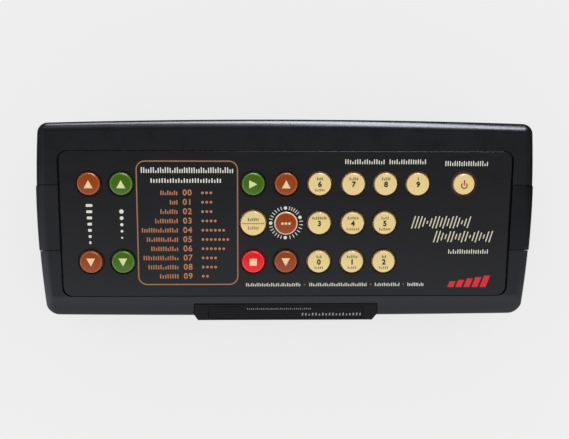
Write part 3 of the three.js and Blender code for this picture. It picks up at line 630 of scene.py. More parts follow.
def barring():
    """A row of flat bars with round corners. Each is as tall as its beat and the wave make it."""
    tree = Recipe("Row of bars", "Count Beat", "Pitch Width Height Bottom Top Corner Low Wave Seat")
    count, beat, pitch, width, height, bottom, top, corner, low, wave, seat = tree.sizes
    start = tree.vector((1 - count) * pitch * 0.5)
    steps = {"Count": count, "Start Location": start, "Offset": tree.vector(pitch)}
    line = tree.add("GeometryNodeMeshLine", mode="OFFSET", **steps)
    index = tree.add("GeometryNodeInputIndex")
    beaten = index.math("FLOORED_MODULO", beat).math("LESS_THAN", 0.5)
    swell = ((index + 1) * wave).math("SINE").math("ABSOLUTE")
    share = beaten.math("MAXIMUM", low + (1 - low) * swell)
    sunk = tree.vector(0, (share - 1) * height * 0.5 * seat)
    points = tree.add("GeometryNodeSetPosition", line, Offset=sunk)
    oblong = tree.add("GeometryNodeCurvePrimitiveQuadrilateral", Width=width, Height=height)
    corners = {"Radius": corner, "Count": 4, "Limit Radius": True}
    outline = tree.add("GeometryNodeFilletCurve", oblong, mode="POLY", **corners)
    ends = {"Start": tree.vector(0, 0, bottom), "End": tree.vector(0, 0, top)}
    rise = tree.add("GeometryNodeCurvePrimitiveLine", **ends)
    bar = tree.add("GeometryNodeCurveToMesh", rise, Profile_Curve=outline, Fill_Caps=True)
    spread = {"Instance": bar, "Scale": tree.vector(1, share, 1)}
    return tree.end(tree.add("GeometryNodeInstanceOnPoints", points, **spread))


def ticking():
    """Short strokes that stand out from an arc, between two angles."""
    tree = Recipe("Arc of ticks", "Count", "Radius Start End Width Length Bottom Top")
    count, radius, start, end, width, length, bottom, top = tree.sizes
    line = tree.add("GeometryNodeMeshLine", mode="OFFSET", Count=count)
    share = tree.add("GeometryNodeInputIndex") / (count - 1)
    turn = start + (end - start) * share
    spot = tree.vector(radius * turn.math("COSINE"), radius * turn.math("SINE"))
    points = tree.add("GeometryNodeSetPosition", line, Position=spot)
    size = tree.vector(length, width, top - bottom)
    stroke = tree.add("GeometryNodeMeshCube", size, output="Mesh")
    lift = tree.vector(0, 0, (top + bottom) * 0.5)
    tick = tree.add("GeometryNodeTransform", stroke, Translation=lift)
    turned = tree.add("FunctionNodeEulerToRotation", tree.vector(0, 0, turn))
    spread = {"Instance": tick, "Rotation": turned}
    return tree.end(tree.add("GeometryNodeInstanceOnPoints", points, **spread))


turned_recipe = turning()
bars_recipe = barring()
ticks_recipe = ticking()


def turned(name, profile, material, sides):
    points = [(radius, 0, height) for radius, height in profile]
    edges = [(k, k + 1) for k in range(len(points) - 1)]
    return turned_recipe.run(solid(name, points, edges=edges), material, sides=sides)


def bar_row(matrix, material, beat=1, low=1.0, wave=0.0, seat=0.0, **sizes):
    """A row of bars along X, with the sizes of its recipe, all alike unless a beat is given."""
    rhythm = {"beat": beat, "low": low, "wave": wave, "seat": seat}
    return put(bars_recipe.run(solid("bars"), material, **rhythm, **sizes), matrix)


# Materials
def srgb(red, green, blue):
    """A colour as a screen shows it, from 0 to 255, as the linear one that shaders take."""
    shares = [value / 255 for value in (red, green, blue)]
    linear = [v / 12.92 if v <= 0.04045 else ((v + 0.055) / 1.055) ** 2.4 for v in shares]
    return (*linear, 1.0)


def scaled(colour, factor):
    return (*[min(1.0, value * factor) for value in colour[:3]], 1.0)


def coat(skin, gloss, relief, **more):
    """The sockets of a surface whose colour, gloss and relief vary."""
    return {"Base_Color": skin, "Roughness": gloss, "Normal": relief, **more}


def finish(paint):
    """Turns a function that gives the sockets of a surface into one that makes its material."""

    def make(name, *options):
        material = bpy.data.materials.new(name)
        material.use_nodes = True
        material.node_tree.nodes.clear()
        nodes = Nodes(material.node_tree)
        place = nodes.add("ShaderNodeTexCoord", output="Object")
        surface = nodes.add("ShaderNodeBsdfPrincipled", **paint(place, *options))
        nodes.add("ShaderNodeOutputMaterial", surface)
        return material

    return make


@finish
def moulded(place, colour, rough, grain, depth):
    """Moulded plastic: fine spark-eroded grain, a faint mottle and worn, handled patches."""
    fine = place.noise(grain, 3, 0.6)
    skin = fine.mix(scaled(colour, 0.9), place.noise(26, 3).shade(colour, 0.92, 1.08))
    handled = place.noise(11, 4).ranged(0.45, 0.7)
    gloss = rough + (fine - 0.5) * 0.1 + (0.5 - handled) * 0.05
    pores = place.cells(grain * 1.7)
    return coat(skin, gloss, (fine * 0.7 + pores * 0.3).bump(depth))


@finish
def cap_plastic(place, colour, rim_colour, rim_share=0.75, attribute="rim"):
    """Glossy key plastic: flow marks, finger polish on the top and a paler edge. On the plain caps
    that paler edge is a painted highlight of the light that the rounded edge catches; on the select
    cap it is the cap's own pale ring.
    """
    flow = place.stretched(1, 1, 3).noise(3.2, 3, 0.55)
    speck = place.noise(0.22)
    skin = speck.ranged(0.62, 0.8, 0, 0.2).mix(flow.shade(colour, 0.92, 1.08), scaled(colour, 0.75))
    # The paler colour along this mask is a painted highlight on the plain caps, and the select cap's
    # own ring on that cap.
    rim = place.nodes.add("ShaderNodeAttribute", attribute_name=attribute, output="Fac")
    skin = (rim * rim_share).mix(skin, flow.shade(rim_colour, 0.96, 1.04))
    gloss = 0.2 + (place.noise(4.5, 3) - 0.5) * 0.14 + (speck - 0.5) * 0.05
    return coat(skin, gloss, (speck * 0.6 + flow * 0.4).bump(0.006))


@finish
def screen_ink(place, colour, rough=0.45, shine=0.5):
    """Screen-printed ink: a slightly uneven coat with pinholes where the mesh shows."""
    film = place.noise(1.6, 3)
    mesh = place.cells(0.18)
    pinholes = mesh.ranged(0.0, 0.25, 0.22, 0.0)
    skin = pinholes.mix(film.shade(colour, 0.88, 1.05), scaled(colour, 0.6))
    relief = (film + mesh * 0.5).bump(0.004)
    return coat(skin, rough + (film - 0.5) * 0.15, relief, Specular_IOR_Level=shine)


@finish
def panel_film(place, colour):
    """Printed film over the plate: satin, very fine texture, lint and soft rub marks."""
    fine = place.noise(0.16, 2, 0.6)
    lint = place.stretched(1, 5, 1).noise(1.1, 1).ranged(0.72, 0.78)
    rub = place.stretched(0.35, 1.6, 1).noise(9, 4, 0.6)
    skin = (lint * 0.35).mix(place.noise(40, 3).shade(colour, 0.92, 1.1), scaled(colour, 2.4))
    return coat(skin, 0.28 + (fine - 0.5) * 0.1 + (rub - 0.5) * 0.1, fine.bump(0.004))


@finish
def gloss_black(place, colour, rough, alpha):
    """Polished acrylic or bezel plastic with hairline scratches and a little dust."""
    hair = place.stretched(0.12, 2.2, 2.2).noise(0.8, 2, 0.7)
    dust = place.noise(0.35, 1).ranged(0.74, 0.8)
    skin = (dust * 0.5).mix(colour, scaled(colour, 6))
    gloss = rough + hair.ranged(0.6, 0.75, 0, 0.16) + place.noise(7, 3) * 0.06
    return coat(skin, gloss, hair.bump(0.0015), Alpha=alpha, Specular_IOR_Level=0.12)


@finish
def plated(place, colour, rough):
    """Plated or turned metal: fine tool marks and a few dull spots."""
    marks = place.stretched(1, 1, 9).noise(0.7, 3, 0.65)
    dull = place.noise(1.9, 3).ranged(0.55, 0.75)
    gloss = rough + dull * 0.18 + (marks - 0.5) * 0.1
    return coat(dull.shade(colour, 1.0, 0.72), gloss, marks.bump(0.004), Metallic=1.0)


@finish
def soft_rubber(place, colour):
    """Moulded rubber: matt, pebbled, with a dusty bloom."""
    bloom = place.noise(3, 4).ranged(0.4, 0.75)
    skin = (bloom * 0.5).shade(colour, 1.0, 2.2)
    return coat(skin, 0.78 + bloom * 0.15, place.cells(0.5).bump(0.02))


@finish
def circuit(place):
    """A board: green resist over copper tracks that run in two directions, with solder pads."""
    x, y, _ = place.split()
    lanes = (x / MM + place.noise(14, 1) * 6).math("PINGPONG", 1.1).math("LESS_THAN", 0.4)
    rows = (y / MM + place.noise(11, 1) * 7).math("PINGPONG", 1.4).math("LESS_THAN", 0.45)
    turn = place.noise(16, 1).math("GREATER_THAN", 0.5)
    tracks = lanes * turn + rows * (1 - turn)
    pads = place.cells(3.4).math("LESS_THAN", 0.22)
    skin = pads.mix(tracks.mix(srgb(24, 92, 52), srgb(46, 124, 70)), srgb(176, 178, 176))
    relief = (tracks * 0.5 + pads).bump(0.05)
    return coat(skin, 0.34 + place.noise(2) * 0.16, relief, Metallic=pads * 0.9)


@finish
def ribbed_cable(place):
    """Flat ribbon cable: a ridge for each wire across its width, the first one marked."""
    across = place.split()[0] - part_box("ribbon_cable")[0].x
    wire = (across / MM * (2 * math.pi / 1.27)).math("SINE")
    first = across.math("LESS_THAN", 1.2 * MM)
    skin = first.mix(srgb(150, 150, 156), srgb(170, 40, 36))
    return coat(skin, 0.42 + place.noise(2.2) * 0.14, wire.bump(0.2))


@finish
def laminated(place):
    """Transformer core: thin steel plates stacked along the depth, with a varnish tint."""
    leaf = (place.split()[1] / MM).math("PINGPONG", 0.25) * 4
    varnish = place.noise(8, 3).ranged(0.4, 0.7)
    skin = varnish.mix(srgb(104, 104, 108), srgb(92, 78, 56))
    return coat(skin, 0.36 + varnish * 0.2, leaf.bump(0.08), Metallic=0.9)


@finish
def wrapped_tape(place):
    """Insulating tape round a coil: overlapping turns with soft edges."""
    lap = (place.split()[2] / MM / 5.2).math("FRACT")
    crease = place.stretched(1, 1, 4).noise(2.4, 3)
    skin = crease.mix(srgb(196, 152, 52), srgb(214, 176, 84))
    return coat(skin, 0.3 + crease * 0.2, (lap + crease * 0.3).bump(0.12))


@finish
def ferrite(place):
    """Sintered ferrite magnet: dark, grainy, with chipped specks."""
    grain = place.noise(0.5, 4, 0.7)
    chips = place.cells(1.8).ranged(0.0, 0.18, 1.0, 0.0)
    return coat(chips.mix(srgb(44, 44, 48), srgb(86, 86, 92)), 0.6 + grain * 0.2, grain.bump(0.05))


@finish
def pressed_paper(place, axis_y, axis_z):
    """Speaker cone: black pulp with fibres and pressed rings round its axis."""
    _, y, z = place.split()
    y_off = y / MM - axis_y
    z_off = z / MM - axis_z
    rings = (y_off * y_off + z_off * z_off).math("SQRT").math("PINGPONG", 0.9)
    fibre = place.stretched(1, 1, 5).noise(0.6, 4, 0.7)
    skin = fibre.mix(srgb(30, 30, 31), srgb(62, 60, 57))
    return coat(skin, 0.78 + fibre * 0.14, (rings * 0.4 + fibre * 0.6).bump(0.07))


@finish
def segment_red(place):
    """An unlit light segment: milky red plastic."""
    milk = place.noise(1.2)
    skin = milk.mix(srgb(96, 44, 42), srgb(120, 66, 62))
    return coat(skin, 0.5 + milk * 0.1, milk.bump(0.01))


CASE_BLACK = moulded("case plastic", srgb(22, 23, 26), 0.28, 0.3, 0.01)
GRILLE_BLACK = moulded("grille plastic", srgb(14, 15, 18), 0.4, 0.3, 0.01)
# The right grille's darker copy of the grille plastic is painted shade: that end gets less light.
SHADED_GRILLE = moulded("darker grille plastic", srgb(4, 5, 8), 0.3, 0.3, 0.01)
PANEL_BLACK = panel_film("panel film", srgb(23, 23, 23))
BEZEL_BLACK = gloss_black("bezel gloss", srgb(17, 17, 18), 0.16, 1.0)
SMOKED = gloss_black("smoked window", srgb(15, 14, 15), 0.13, 0.94)
BROWN = srgb(155, 65, 4)
PALE = srgb(250, 226, 200)
# The second colour of each cap is a paler tone that paints the highlight along its rounded edge.
CAP_PLASTICS = {
    "brown": cap_plastic("brown cap", BROWN, srgb(160, 104, 78)),
    "green": cap_plastic("green cap", srgb(66, 109, 0), srgb(108, 134, 84)),
    "cream": cap_plastic("cream cap", srgb(238, 214, 145), srgb(250, 214, 166)),
    "red": cap_plastic("red cap", srgb(250, 0, 20), srgb(216, 84, 90)),
}
RINGED_CAP = cap_plastic("ringed cap", BROWN, srgb(252, 216, 190), 0.8, "edge")
PALE_COLLAR = cap_plastic("pale collar", PALE, PALE)
SOCKET_BLACK = moulded("socket plastic", srgb(30, 30, 32), 0.42, 0.5, 0.02)
MODULE_BLACK = moulded("digit module", srgb(26, 24, 24), 0.6, 0.4, 0.01)
SEGMENT = segment_red("unlit segment")
NUT_CHROME = plated("nut chrome", srgb(214, 214, 218), 0.12)
SCREW_STEEL = plated("screw steel", srgb(176, 176, 180), 0.26)
BASKET_STEEL = moulded("painted steel", srgb(48, 48, 51), 0.4, 0.6, 0.01)
PIN_BRASS = plated("pin brass", srgb(214, 178, 96), 0.22)
FOOT_RUBBER = soft_rubber("foot rubber", srgb(30, 30, 30))
BOARD_GREEN = circuit("circuit board")
RIBBON_GREY = ribbed_cable("ribbon cable")
CORE_STEEL = laminated("core plates")
COIL_TAPE = wrapped_tape("coil tape")
MAGNET_DARK = ferrite("ferrite magnet")
CONE_PAPER = pressed_paper("cone paper", SPEAKER_DEPTH + case_shift, SPEAKER_HEIGHT)

# The slot and the colour of each ink; the dark ones are matt
INK_TONES = {
    "copper": ("copper", (192, 124, 88)),
    "dull copper": ("copper", (168, 116, 84)),
    "orange": ("copper", (222, 128, 62)),
    "cream": ("cream", (244, 218, 166)),
    "lime": ("cream", (226, 230, 168)),
    "ivory": ("cream", (224, 216, 190)),
    "white": ("white", (236, 234, 224)),
    "red": ("red", (222, 18, 38)),
    "dull red": ("red", (116, 78, 80)),
    "ember": ("red", (176, 52, 24)),
    "wine": ("red", (62, 14, 6)),
    "green": ("green", (86, 100, 40)),
    "brown": ("brown", (152, 98, 48)),
    "black": ("black", (22, 20, 18)),
    "grey": ("grey", (150, 152, 156)),
    # The dark tones print the rings round the key holes: painted shade of the gaps round the caps.
    "dark cream": ("brown", (44, 27, 8)),
    "dark brown": ("brown", (42, 24, 16)),
    "dark green": ("green", (20, 31, 10)),
    "dark red": ("red", (70, 20, 18)),
}
MATT = (0.6, 0.1)
INKS = {}
for tone, (slot, colour) in INK_TONES.items():
    sheen = MATT if tone.startswith("dark") else ()
    INKS[tone] = ("print_" + slot, screen_ink(tone + " ink", srgb(*colour), *sheen))


def piece(obj, name, material, body="case", stands_for=None):
    """Names a finished piece, gives it its material, hangs it on the body it rides on and hides the
    CAD part it stands for.
    """
    obj.name = name
    obj.data.name = name
    obj.data.materials.clear()
    obj.data.materials.append(material)
    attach(obj, body)
    if stands_for:
        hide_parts(stands_for)


# Case
def bowed(x, y):
    """A point of the plan, drawn in by the slight bow of the ends, the rear and the front."""
    end_loss = (y - WIDEST_DEPTH) ** 2 / (2 * END_BOW)
    bow, reach = (REAR_BOW, REAR_REACH) if y > 0 else (FRONT_BOW, FRONT_REACH)
    long_loss = x * x / (2 * bow)
    return x * (1 - end_loss / HALF_WIDTH), y * (1 - long_loss / reach)


def plan_ring(inset, front, radius):
    """One ring round the plan, drawn in by an inset and, at the front, by its own."""
    x = HALF_WIDTH - inset - radius
    back = REAR_REACH - inset - radius
    fore = -(FRONT_REACH - front - radius)
    corners = [(x, back), (-x, back), (-x, fore), (x, fore)]
    ring = []
    for i, (cx, cy) in enumerate(corners):
        for k in range(CORNER_STEPS + 1):
            angle = (i + k / CORNER_STEPS) * math.pi / 2
            ring.append((cx + radius * math.cos(angle), cy + radius * math.sin(angle), angle))
        sx, sy, angle = ring[-1]
        nx, ny = corners[(i + 1) % 4]
        ex = nx + radius * math.cos(angle)
        ey = ny + radius * math.sin(angle)
        steps = LONG_STEPS if i % 2 == 0 else SHORT_STEPS
        for k in range(1, steps):
            share = k / steps
            ring.append((sx + (ex - sx) * share, sy + (ey - sy) * share, angle))
    return [(*bowed(px, py), max(0.0, -math.sin(angle))) for px, py, angle in ring]


def level_ring(inset, height):
    """A ring of the plan that is drawn in alike all round, at a height."""
    radius = max(CORNER - inset, TIGHTEST_CORNER)
    return [(x, y, height) for x, y, _ in plan_ring(inset, inset, radius)]


def case_form(inset, top_inset, bottom):
    """The case's outer form, or one inside it, up to the rounded, sloped top."""
    side = max(SIDE_FILLET - inset, TIGHTEST_FILLET)
    front = max(FRONT_FILLET - inset, TIGHTEST_FILLET)
    radius = max(CORNER - inset, TIGHTEST_CORNER)
    rings = [level_ring(inset, bottom)]
    for k in range(FILLET_STEPS + 1):
        angle = k / FILLET_STEPS * math.pi / 2
        inward = 1 - math.cos(angle)
        downward = 1 - math.sin(angle)
        ring_radius = max(radius - side * inward, TIGHTEST_CORNER)
        level = []
        ring = plan_ring(inset + side * inward, inset + front * inward, ring_radius)
        for x, y, frontness in ring:
            fillet = side + (front - side) * frontness
            depth = top_inset + fillet * downward
            level.append((x, y, face_level(y) - depth / math.cos(FACE_TILT)))
        rings.append(level)
    return loft("case form", rings)


def corner_places(x, rear, front):
    rows = {"rear": rear, "front": front}
    ends = {"left": -x, "right": x}
    return {f"{row}_{end}": (ends[end], rows[row]) for row in rows for end in ends}


POSTS = corner_places(POST_X, POST_REAR, POST_FRONT)
FEET = corner_places(FOOT_X, FOOT_REAR, FOOT_FRONT)


def along_x(obj, side):
    """Lays a turned speaker part along X, from its seat inwards."""
    turn = put(obj, Matrix.Rotation(-side * math.pi / 2, 4, "Y"))
    return at(turn, side * SPEAKER_SEAT, SPEAKER_DEPTH, SPEAKER_HEIGHT)


def to_rear(obj, x, z):
    """Lays a turned part along Y, pointing to the rear, at a place on the rear wall."""
    return at(put(obj, Matrix.Rotation(-math.pi / 2, 4, "X")), x, 0, z)


def bezel_outline(margin):
    x = BEZEL_WIDTH / 2 + margin
    top = BEZEL_HEIGHT / 2 + margin
    wide = x + BEZEL_FLARE
    cut_x = wide - BEZEL_CUT_ACROSS
    cut_y = -top + BEZEL_CUT_UP
    return [(-cut_x, -top), (cut_x, -top), (wide, cut_y), (x, top), (-x, top), (-wide, cut_y)]


def grille_zone(side, clearance):
    inner = PANEL_WIDTH / 2 + PANEL_END_GROOVE - clearance
    xs = sorted((side * inner, side * (HALF_WIDTH + WALL)))
    ys = (GRILLE_FRONT - clearance, GRILLE_REAR + clearance)
    return block(xs, ys, (GRILLE_FOOT - clearance, face_level(GRILLE_REAR) + WALL))


def grille_recess(side):
    depth = GRILLE_THICKNESS + FIT
    return carve(grille_zone(side, FIT), [case_form(depth, depth, PARTING)])


def slot_row(count, pitch, width, height, bottom, top, matrix):
    """Cutters for a row of slots with round ends, laid out along X and cut along Z."""
    sizes = {"width": width, "height": height, "bottom": bottom, "top": top}
    sizes["corner"] = min(width, height) / 2
    return bar_row(matrix, CASE_BLACK, count=count, pitch=pitch, **sizes)


def rear_vents():
    turn = Matrix.Translation((VENT_X, 0, REAR_VENT_HEIGHT)) @ Matrix.Rotation(math.pi / 2, 4, "X")
    reach = (-(REAR_REACH + OVERRUN), -(REAR_REACH - 2 * WALL))
    return slot_row(VENTS, VENT_PITCH, VENT_WIDTH, REAR_VENT_LENGTH, *reach, turn)


def case_hollow():
    """The room inside the upper shell: less the display's seat, the posts and speaker seats."""
    seat_back = -(BEZEL_THICKNESS + FIT + SEAT_FLOOR)
    seat_size = (BEZEL_WIDTH + 2 * SEAT_MARGIN, BEZEL_HEIGHT + 2 * SEAT_MARGIN)
    tools = [put(slab(*seat_size, (seat_back, BEZEL_THICKNESS)), ON_DISPLAY)]
    tools += drums(POSTS, POST_RADIUS, PARTING, FACE_HEIGHT + WALL * 5)
    tools += [along_x(drum(SPEAKER_RADIUS, -WALL, 0), side) for side in (-1, 1)]
    return carve(case_form(WALL, TOP_WALL, PARTING - OVERRUN), tools)


def upper_shell():
    pocket_width = PANEL_WIDTH + 2 * PANEL_END_GROOVE
    pocket_depth = PANEL_DEPTH + 2 * PANEL_LONG_GROOVE
    pocket = rounded(0, 0, pocket_width, pocket_depth, PANEL_CORNER + PANEL_LONG_GROOVE)
    opening = (PANEL_WIDTH - 2 * PANEL_LEDGE, PANEL_DEPTH - 2 * PANEL_LEDGE)
    seat_front = -(BEZEL_THICKNESS + FIT)
    through = (REAR_REACH - 2 * WALL, REAR_REACH + OVERRUN)
    inlet = (around(INLET_X, INLET_BODY[0] + 2 * FIT), around(INLET_HEIGHT, INLET_BODY[1] + 2 * FIT))
    tools = [
        case_hollow(),
        put(extruded(pocket, -PANEL_THICKNESS - FIT, FRONT_FILLET), ON_FACE),
        put(slab(*opening, (-TOP_WALL - OVERRUN, 0)), ON_FACE),
        put(extruded(bezel_outline(FIT), seat_front, BEZEL_HEIGHT), ON_DISPLAY),
        put(slab(*LED_ROOM, (seat_front - SEAT_FLOOR - OVERRUN, 0)), ON_DISPLAY),
        block(inlet[0], through, inlet[1]),
        rear_vents(),
    ]
    for side in (-1, 1):
        tools.append(grille_recess(side))
        tools.append(along_x(drum(SPEAKER_HOLE, -2 * WALL, OVERRUN), side))
    tools += drums(POSTS, SCREW_RADIUS + FIT, PARTING - OVERRUN, SCREW_REACH + FIT)
    for x in JACK_XS.values():
        tools.append(to_rear(drum(JACK_NOSE_RADIUS + FIT, *through), x, JACK_AXIS))
    shell = eased(put(carve(case_form(0, 0, PARTING), tools), CASE), CASE_EDGE)
    piece(shell, "case_top", CASE_BLACK, stands_for="upper_shell")


def lower_outer():
    rings = []
    for k in range(FILLET_STEPS + 1):
        angle = k / FILLET_STEPS * math.pi / 2
        inset = LOWER_STEP + LOWER_DRAFT + BASE_FILLET * (1 - math.sin(angle))
        rings.append(level_ring(inset, FOOT_HEIGHT + BASE_FILLET * (1 - math.cos(angle))))
    rings.append(level_ring(LOWER_STEP, PARTING - FIT))
    return loft("base", rings)


def lower_shell():
    inset = WALL + LOWER_STEP + LOWER_DRAFT
    room = loft("room", [level_ring(inset, z) for z in (FLOOR, PARTING + OVERRUN)])
    head_top = FOOT_HEIGHT + SCREW_RECESS + SCREW_HEAD_HEIGHT + FIT
    below = FOOT_HEIGHT - OVERRUN
    under = Matrix.Translation((VENT_X, BASE_VENT_DEPTH, 0))
    reach = (below, FLOOR + OVERRUN)
    tools = [
        carve(room, drums(POSTS, POST_RADIUS, FOOT_HEIGHT, PARTING - FIT)),
        *drums(POSTS, SCREW_HEAD_RADIUS + FIT, below, head_top),
        *drums(POSTS, SCREW_RADIUS + FIT, FOOT_HEIGHT, PARTING + OVERRUN),
        *drums(FEET, FOOT_RADIUS + FIT, below, FOOT_HEIGHT + FOOT_RECESS),
        slot_row(VENTS, VENT_PITCH, VENT_WIDTH, BASE_VENT_LENGTH, *reach, under),
    ]
    shell = eased(put(carve(lower_outer(), tools), CASE), CASE_EDGE)
    piece(shell, "case_bottom", CASE_BLACK, stands_for="lower_shell")


def end_grille(name, side):
    skin = case_form(-GRILLE_PROUD, -GRILLE_PROUD, PARTING)
    carve(skin, [case_form(GRILLE_THICKNESS, GRILLE_THICKNESS, PARTING - OVERRUN)])
    carve(skin, [grille_zone(side, 0)], "INTERSECT")
    pitch = 2 * SPEAKER_HOLE / LOUVRES
    length = 2 * (SPEAKER_HOLE - LOUVRE_INSET)
    middle = Matrix.Translation((0, SPEAKER_DEPTH, SPEAKER_HEIGHT))
    # The row runs up, its slots lie along the depth and it cuts outwards along X.
    turn = Matrix(((0, 0, side, 0), (0, 1, 0, 0), (1, 0, 0, 0), (0, 0, 0, 1)))
    reach = (SPEAKER_SEAT, HALF_WIDTH + WALL)
    slots = slot_row(LOUVRES, pitch, LOUVRE_HEIGHT, length, *reach, middle @ turn)
    # The turn may mirror the row, so the weld also turns its faces outwards again.
    grille = eased(put(carve(skin, [welded(slots)]), CASE), SMALL_EDGE)
    # The right end's darker plastic is painted shade.
    tone = SHADED_GRILLE if side > 0 else GRILLE_BLACK
    piece(grille, "grille_" + name, tone, stands_for="end_grille_" + name)


# Control panel and keys
KEYS = {
    "volume_up": (VOLUME_X, TOP_ROW, "brown"),
    "volume_down": (VOLUME_X, BOTTOM_ROW, "brown"),
    "bass_up": (BASS_X, TOP_ROW, "green"),
    "bass_down": (BASS_X, BOTTOM_ROW, "green"),
    "start": (START_X, TOP_ROW, "green"),
    "program": (START_X, MIDDLE_ROW, "cream"),
    "stop": (START_X, BOTTOM_ROW, "red"),
    "value_up": (SELECT_X, TOP_ROW, "brown"),
    "select": (SELECT_X, MIDDLE_ROW, "brown"),
    "value_down": (SELECT_X, BOTTOM_ROW, "brown"),
}
for row, digits in ((TOP_ROW, "6789"), (MIDDLE_ROW, "345"), (BOTTOM_ROW, "012")):
    for digit, column in zip(digits, (DIGIT_1_X, DIGIT_2_X, DIGIT_3_X, DIGIT_4_X)):
        KEYS[digit] = (column, row, "cream")
KEYS["power"] = (POWER_X, TOP_ROW, "cream")
ODD_CAPS = {"program": PROGRAM_CAP_RADIUS, "power": POWER_CAP_RADIUS}


def cap_radius(key):
    return ODD_CAPS.get(key, CAP_RADIUS)


def body_of_key(key):
    return "digit_" + key if key.isdigit() else key


def on_key(obj, key):
    x, y, _ = KEYS[key]
    return put(at(obj, x, y), FACE)


def crown(radius, x, y=0):
    """Height of a cap's slightly crowned top at a place on it."""
    return CAP_HEIGHT - CAP_CROWN * (x * x + y * y) / (radius * radius)


def control_panel():
    outlines = [rounded(0, 0, PANEL_WIDTH, PANEL_DEPTH, PANEL_CORNER)]
    for key, (x, y, _) in KEYS.items():
        outlines.append(circle(x, y, cap_radius(key) + CAP_HOLE_GAP, 64))
    panel = evened(put(plate("panel", outlines, -PANEL_THICKNESS, 0, PLATE_EDGE), FACE), 50)
    piece(panel, "panel_plate", PANEL_BLACK, stands_for="control_panel")


def key_blank(radius):
    """A key before printing: crowned cap with a rounded edge, its flange and square plunger."""
    flange_top = -(PANEL_THICKNESS + FIT)
    flange_bottom = flange_top - FLANGE_THICKNESS
    flange = radius + CAP_HOLE_GAP + FLANGE_LIP
    shoulder = radius - CAP_EDGE
    inner = shoulder - RIM_FADE
    profile = [(0, flange_bottom), (flange, flange_bottom), (flange, flange_top), (radius, flange_top)]
    profile += arc((shoulder, crown(radius, shoulder) - CAP_EDGE), CAP_EDGE, 0, 84, 7)
    for k in range(CROWN_STEPS + 1):
        place = inner * (1 - k / CROWN_STEPS)
        profile.append((place, crown(radius, place)))
    reach = (flange_bottom - SWITCH_HEIGHT, flange_bottom + OVERRUN / 2)
    plunger = slab(PLUNGER_SIDE, PLUNGER_SIDE, reach)
    blank = smooth(carve(turned("cap", profile, CAP_PLASTICS["cream"], 72), [plunger], "UNION"), 40)
    # The rim mask is where the plain caps take a painted highlight; the edge mask is where the select
    # cap takes its own pale ring.
    for attribute, width in (("rim", HIGHLIGHT_RIM_WIDTH), ("edge", EDGE_WIDTH)):
        marks = blank.data.attributes.new(attribute, "FLOAT", "POINT")
        for vertex, mark in zip(blank.data.vertices, marks.data):
            out = math.hypot(vertex.co.x, vertex.co.y)
            mark.value = 1.0 if vertex.co.z > 0 and out > radius - width else 0.0
    return blank


def keys():
    blanks = {r: key_blank(r) for r in (CAP_RADIUS, *ODD_CAPS.values())}
    for key, (_, _, colour) in KEYS.items():
        cap = on_key(linked(key, blanks[cap_radius(key)].data.copy()), key)
        plastic = RINGED_CAP if key == "select" else CAP_PLASTICS[colour]
        piece(cap, "cap_" + key, plastic, body_of_key(key), "key_" + key)
    for blank in blanks.values():
        bpy.data.objects.remove(blank)


# Marks on the caps, drawn about a cap's middle and laid over its crown
def triangle(width, height, up=1):
    half = width / 2
    rise = height / 2 * up
    corners = [(-half, -rise), (half, -rise), (0, rise)]
    return corners if up > 0 else corners[::-1]


def power_mark():
    """The usual standby sign: an open ring with a stroke from its gap."""
    middle = (0, -0.6)
    outer = 1.9
    inner = 1.2
    gap = 40
    span = (90 + gap, 450 - gap, 28)
    ring = arc(middle, outer, *span) + arc(middle, inner, *span)[::-1]
    return [ring, rounded(0, 1.0, 0.7, 3.2, 0.3, 4)]


def split_long(bm):
    """Splits a flat print's long edges, so that it can follow a curved top."""
    bmesh.ops.triangulate(bm, faces=bm.faces)
    for _ in range(3):
        long_edges = [edge for edge in bm.edges if edge.calc_length() > PRINT_STEP]
        bmesh.ops.subdivide_edges(bm, edges=long_edges, cuts=1)
        bmesh.ops.triangulate(bm, faces=bm.faces)


def cap_print(name, key, mark, tone):
    """Lays a flat print over the crown of a key's cap."""
    slot, material = INKS[tone]
    remade(mark, split_long)
    for vertex in mark.data.vertices:
        vertex.co.z += crown(cap_radius(key), vertex.co.x, vertex.co.y)
    piece(on_key(mark, key), name + "_" + key, material, body_of_key(key))


def bars(left, right, middle, height, pitch, share, beat, wave, low=0.45, seat=1.0, ends=BAR_ROUND):
    """A row of ink bars between two places, standing on one line or centred on it."""
    count = max(1, round((right - left) / pitch))
    thick = pitch * share
    sizes = {"count": count, "pitch": (right - left) / count, "width": thick, "height": height}
    rhythm = {"beat": beat, "low": low, "wave": wave, "seat": seat}
    sizes |= {"bottom": -INK_SINK, "top": INK, "corner": thick * ends}
    place = Matrix.Translation(((left + right) / 2, middle, 0))
    return bar_row(place, INKS["white"][1], **sizes, **rhythm)


def strokes(width, height, y):
    """A short row of ink strokes, centred at a height on a cap."""
    share = STROKE_WIDTH / STROKE_PITCH
    rhythm = {"beat": 3, "wave": 1.7, "low": 0.5, "ends": STROKE_CORNER / STROKE_WIDTH}
    return bars(*around(0, width), y, height, STROKE_PITCH, share, **rhythm)


def arrow_prints():
    for key in ("volume", "bass", "value"):
        tone = "lime" if key == "bass" else "cream"
        for way, sign in (("_up", 1), ("_down", -1)):
            cap_print("mark", key + way, ink([triangle(4.8, 4.5, sign)]), tone)
    forward = [(y, x) for x, y in reversed(triangle(4.6, 4.4))]
    cap_print("mark", "start", ink([forward]), "lime")
    cap_print("mark", "stop", ink([rounded(0, 0, 4.0, 4.0, 0.3, 3)]), "cream")
    cap_print("mark", "power", ink(power_mark()), "ember")
    dots = [circle(x, 0, 0.75, 20) for x in (-1.95, 0, 1.95)]
    cap_print("mark", "select", ink(dots), "cream")


def program_print():
    line = rounded(0, 0, 2 * PROGRAM_CAP_RADIUS - 1.4, 0.65, 0.1, 2)
    cap_print("line", "program", ink([line]), "orange")
    cap_print("upper", "program", strokes(6.3, 1.9, 2.3), "green")
    cap_print("lower", "program", strokes(6.3, 1.8, -2.5), "brown")


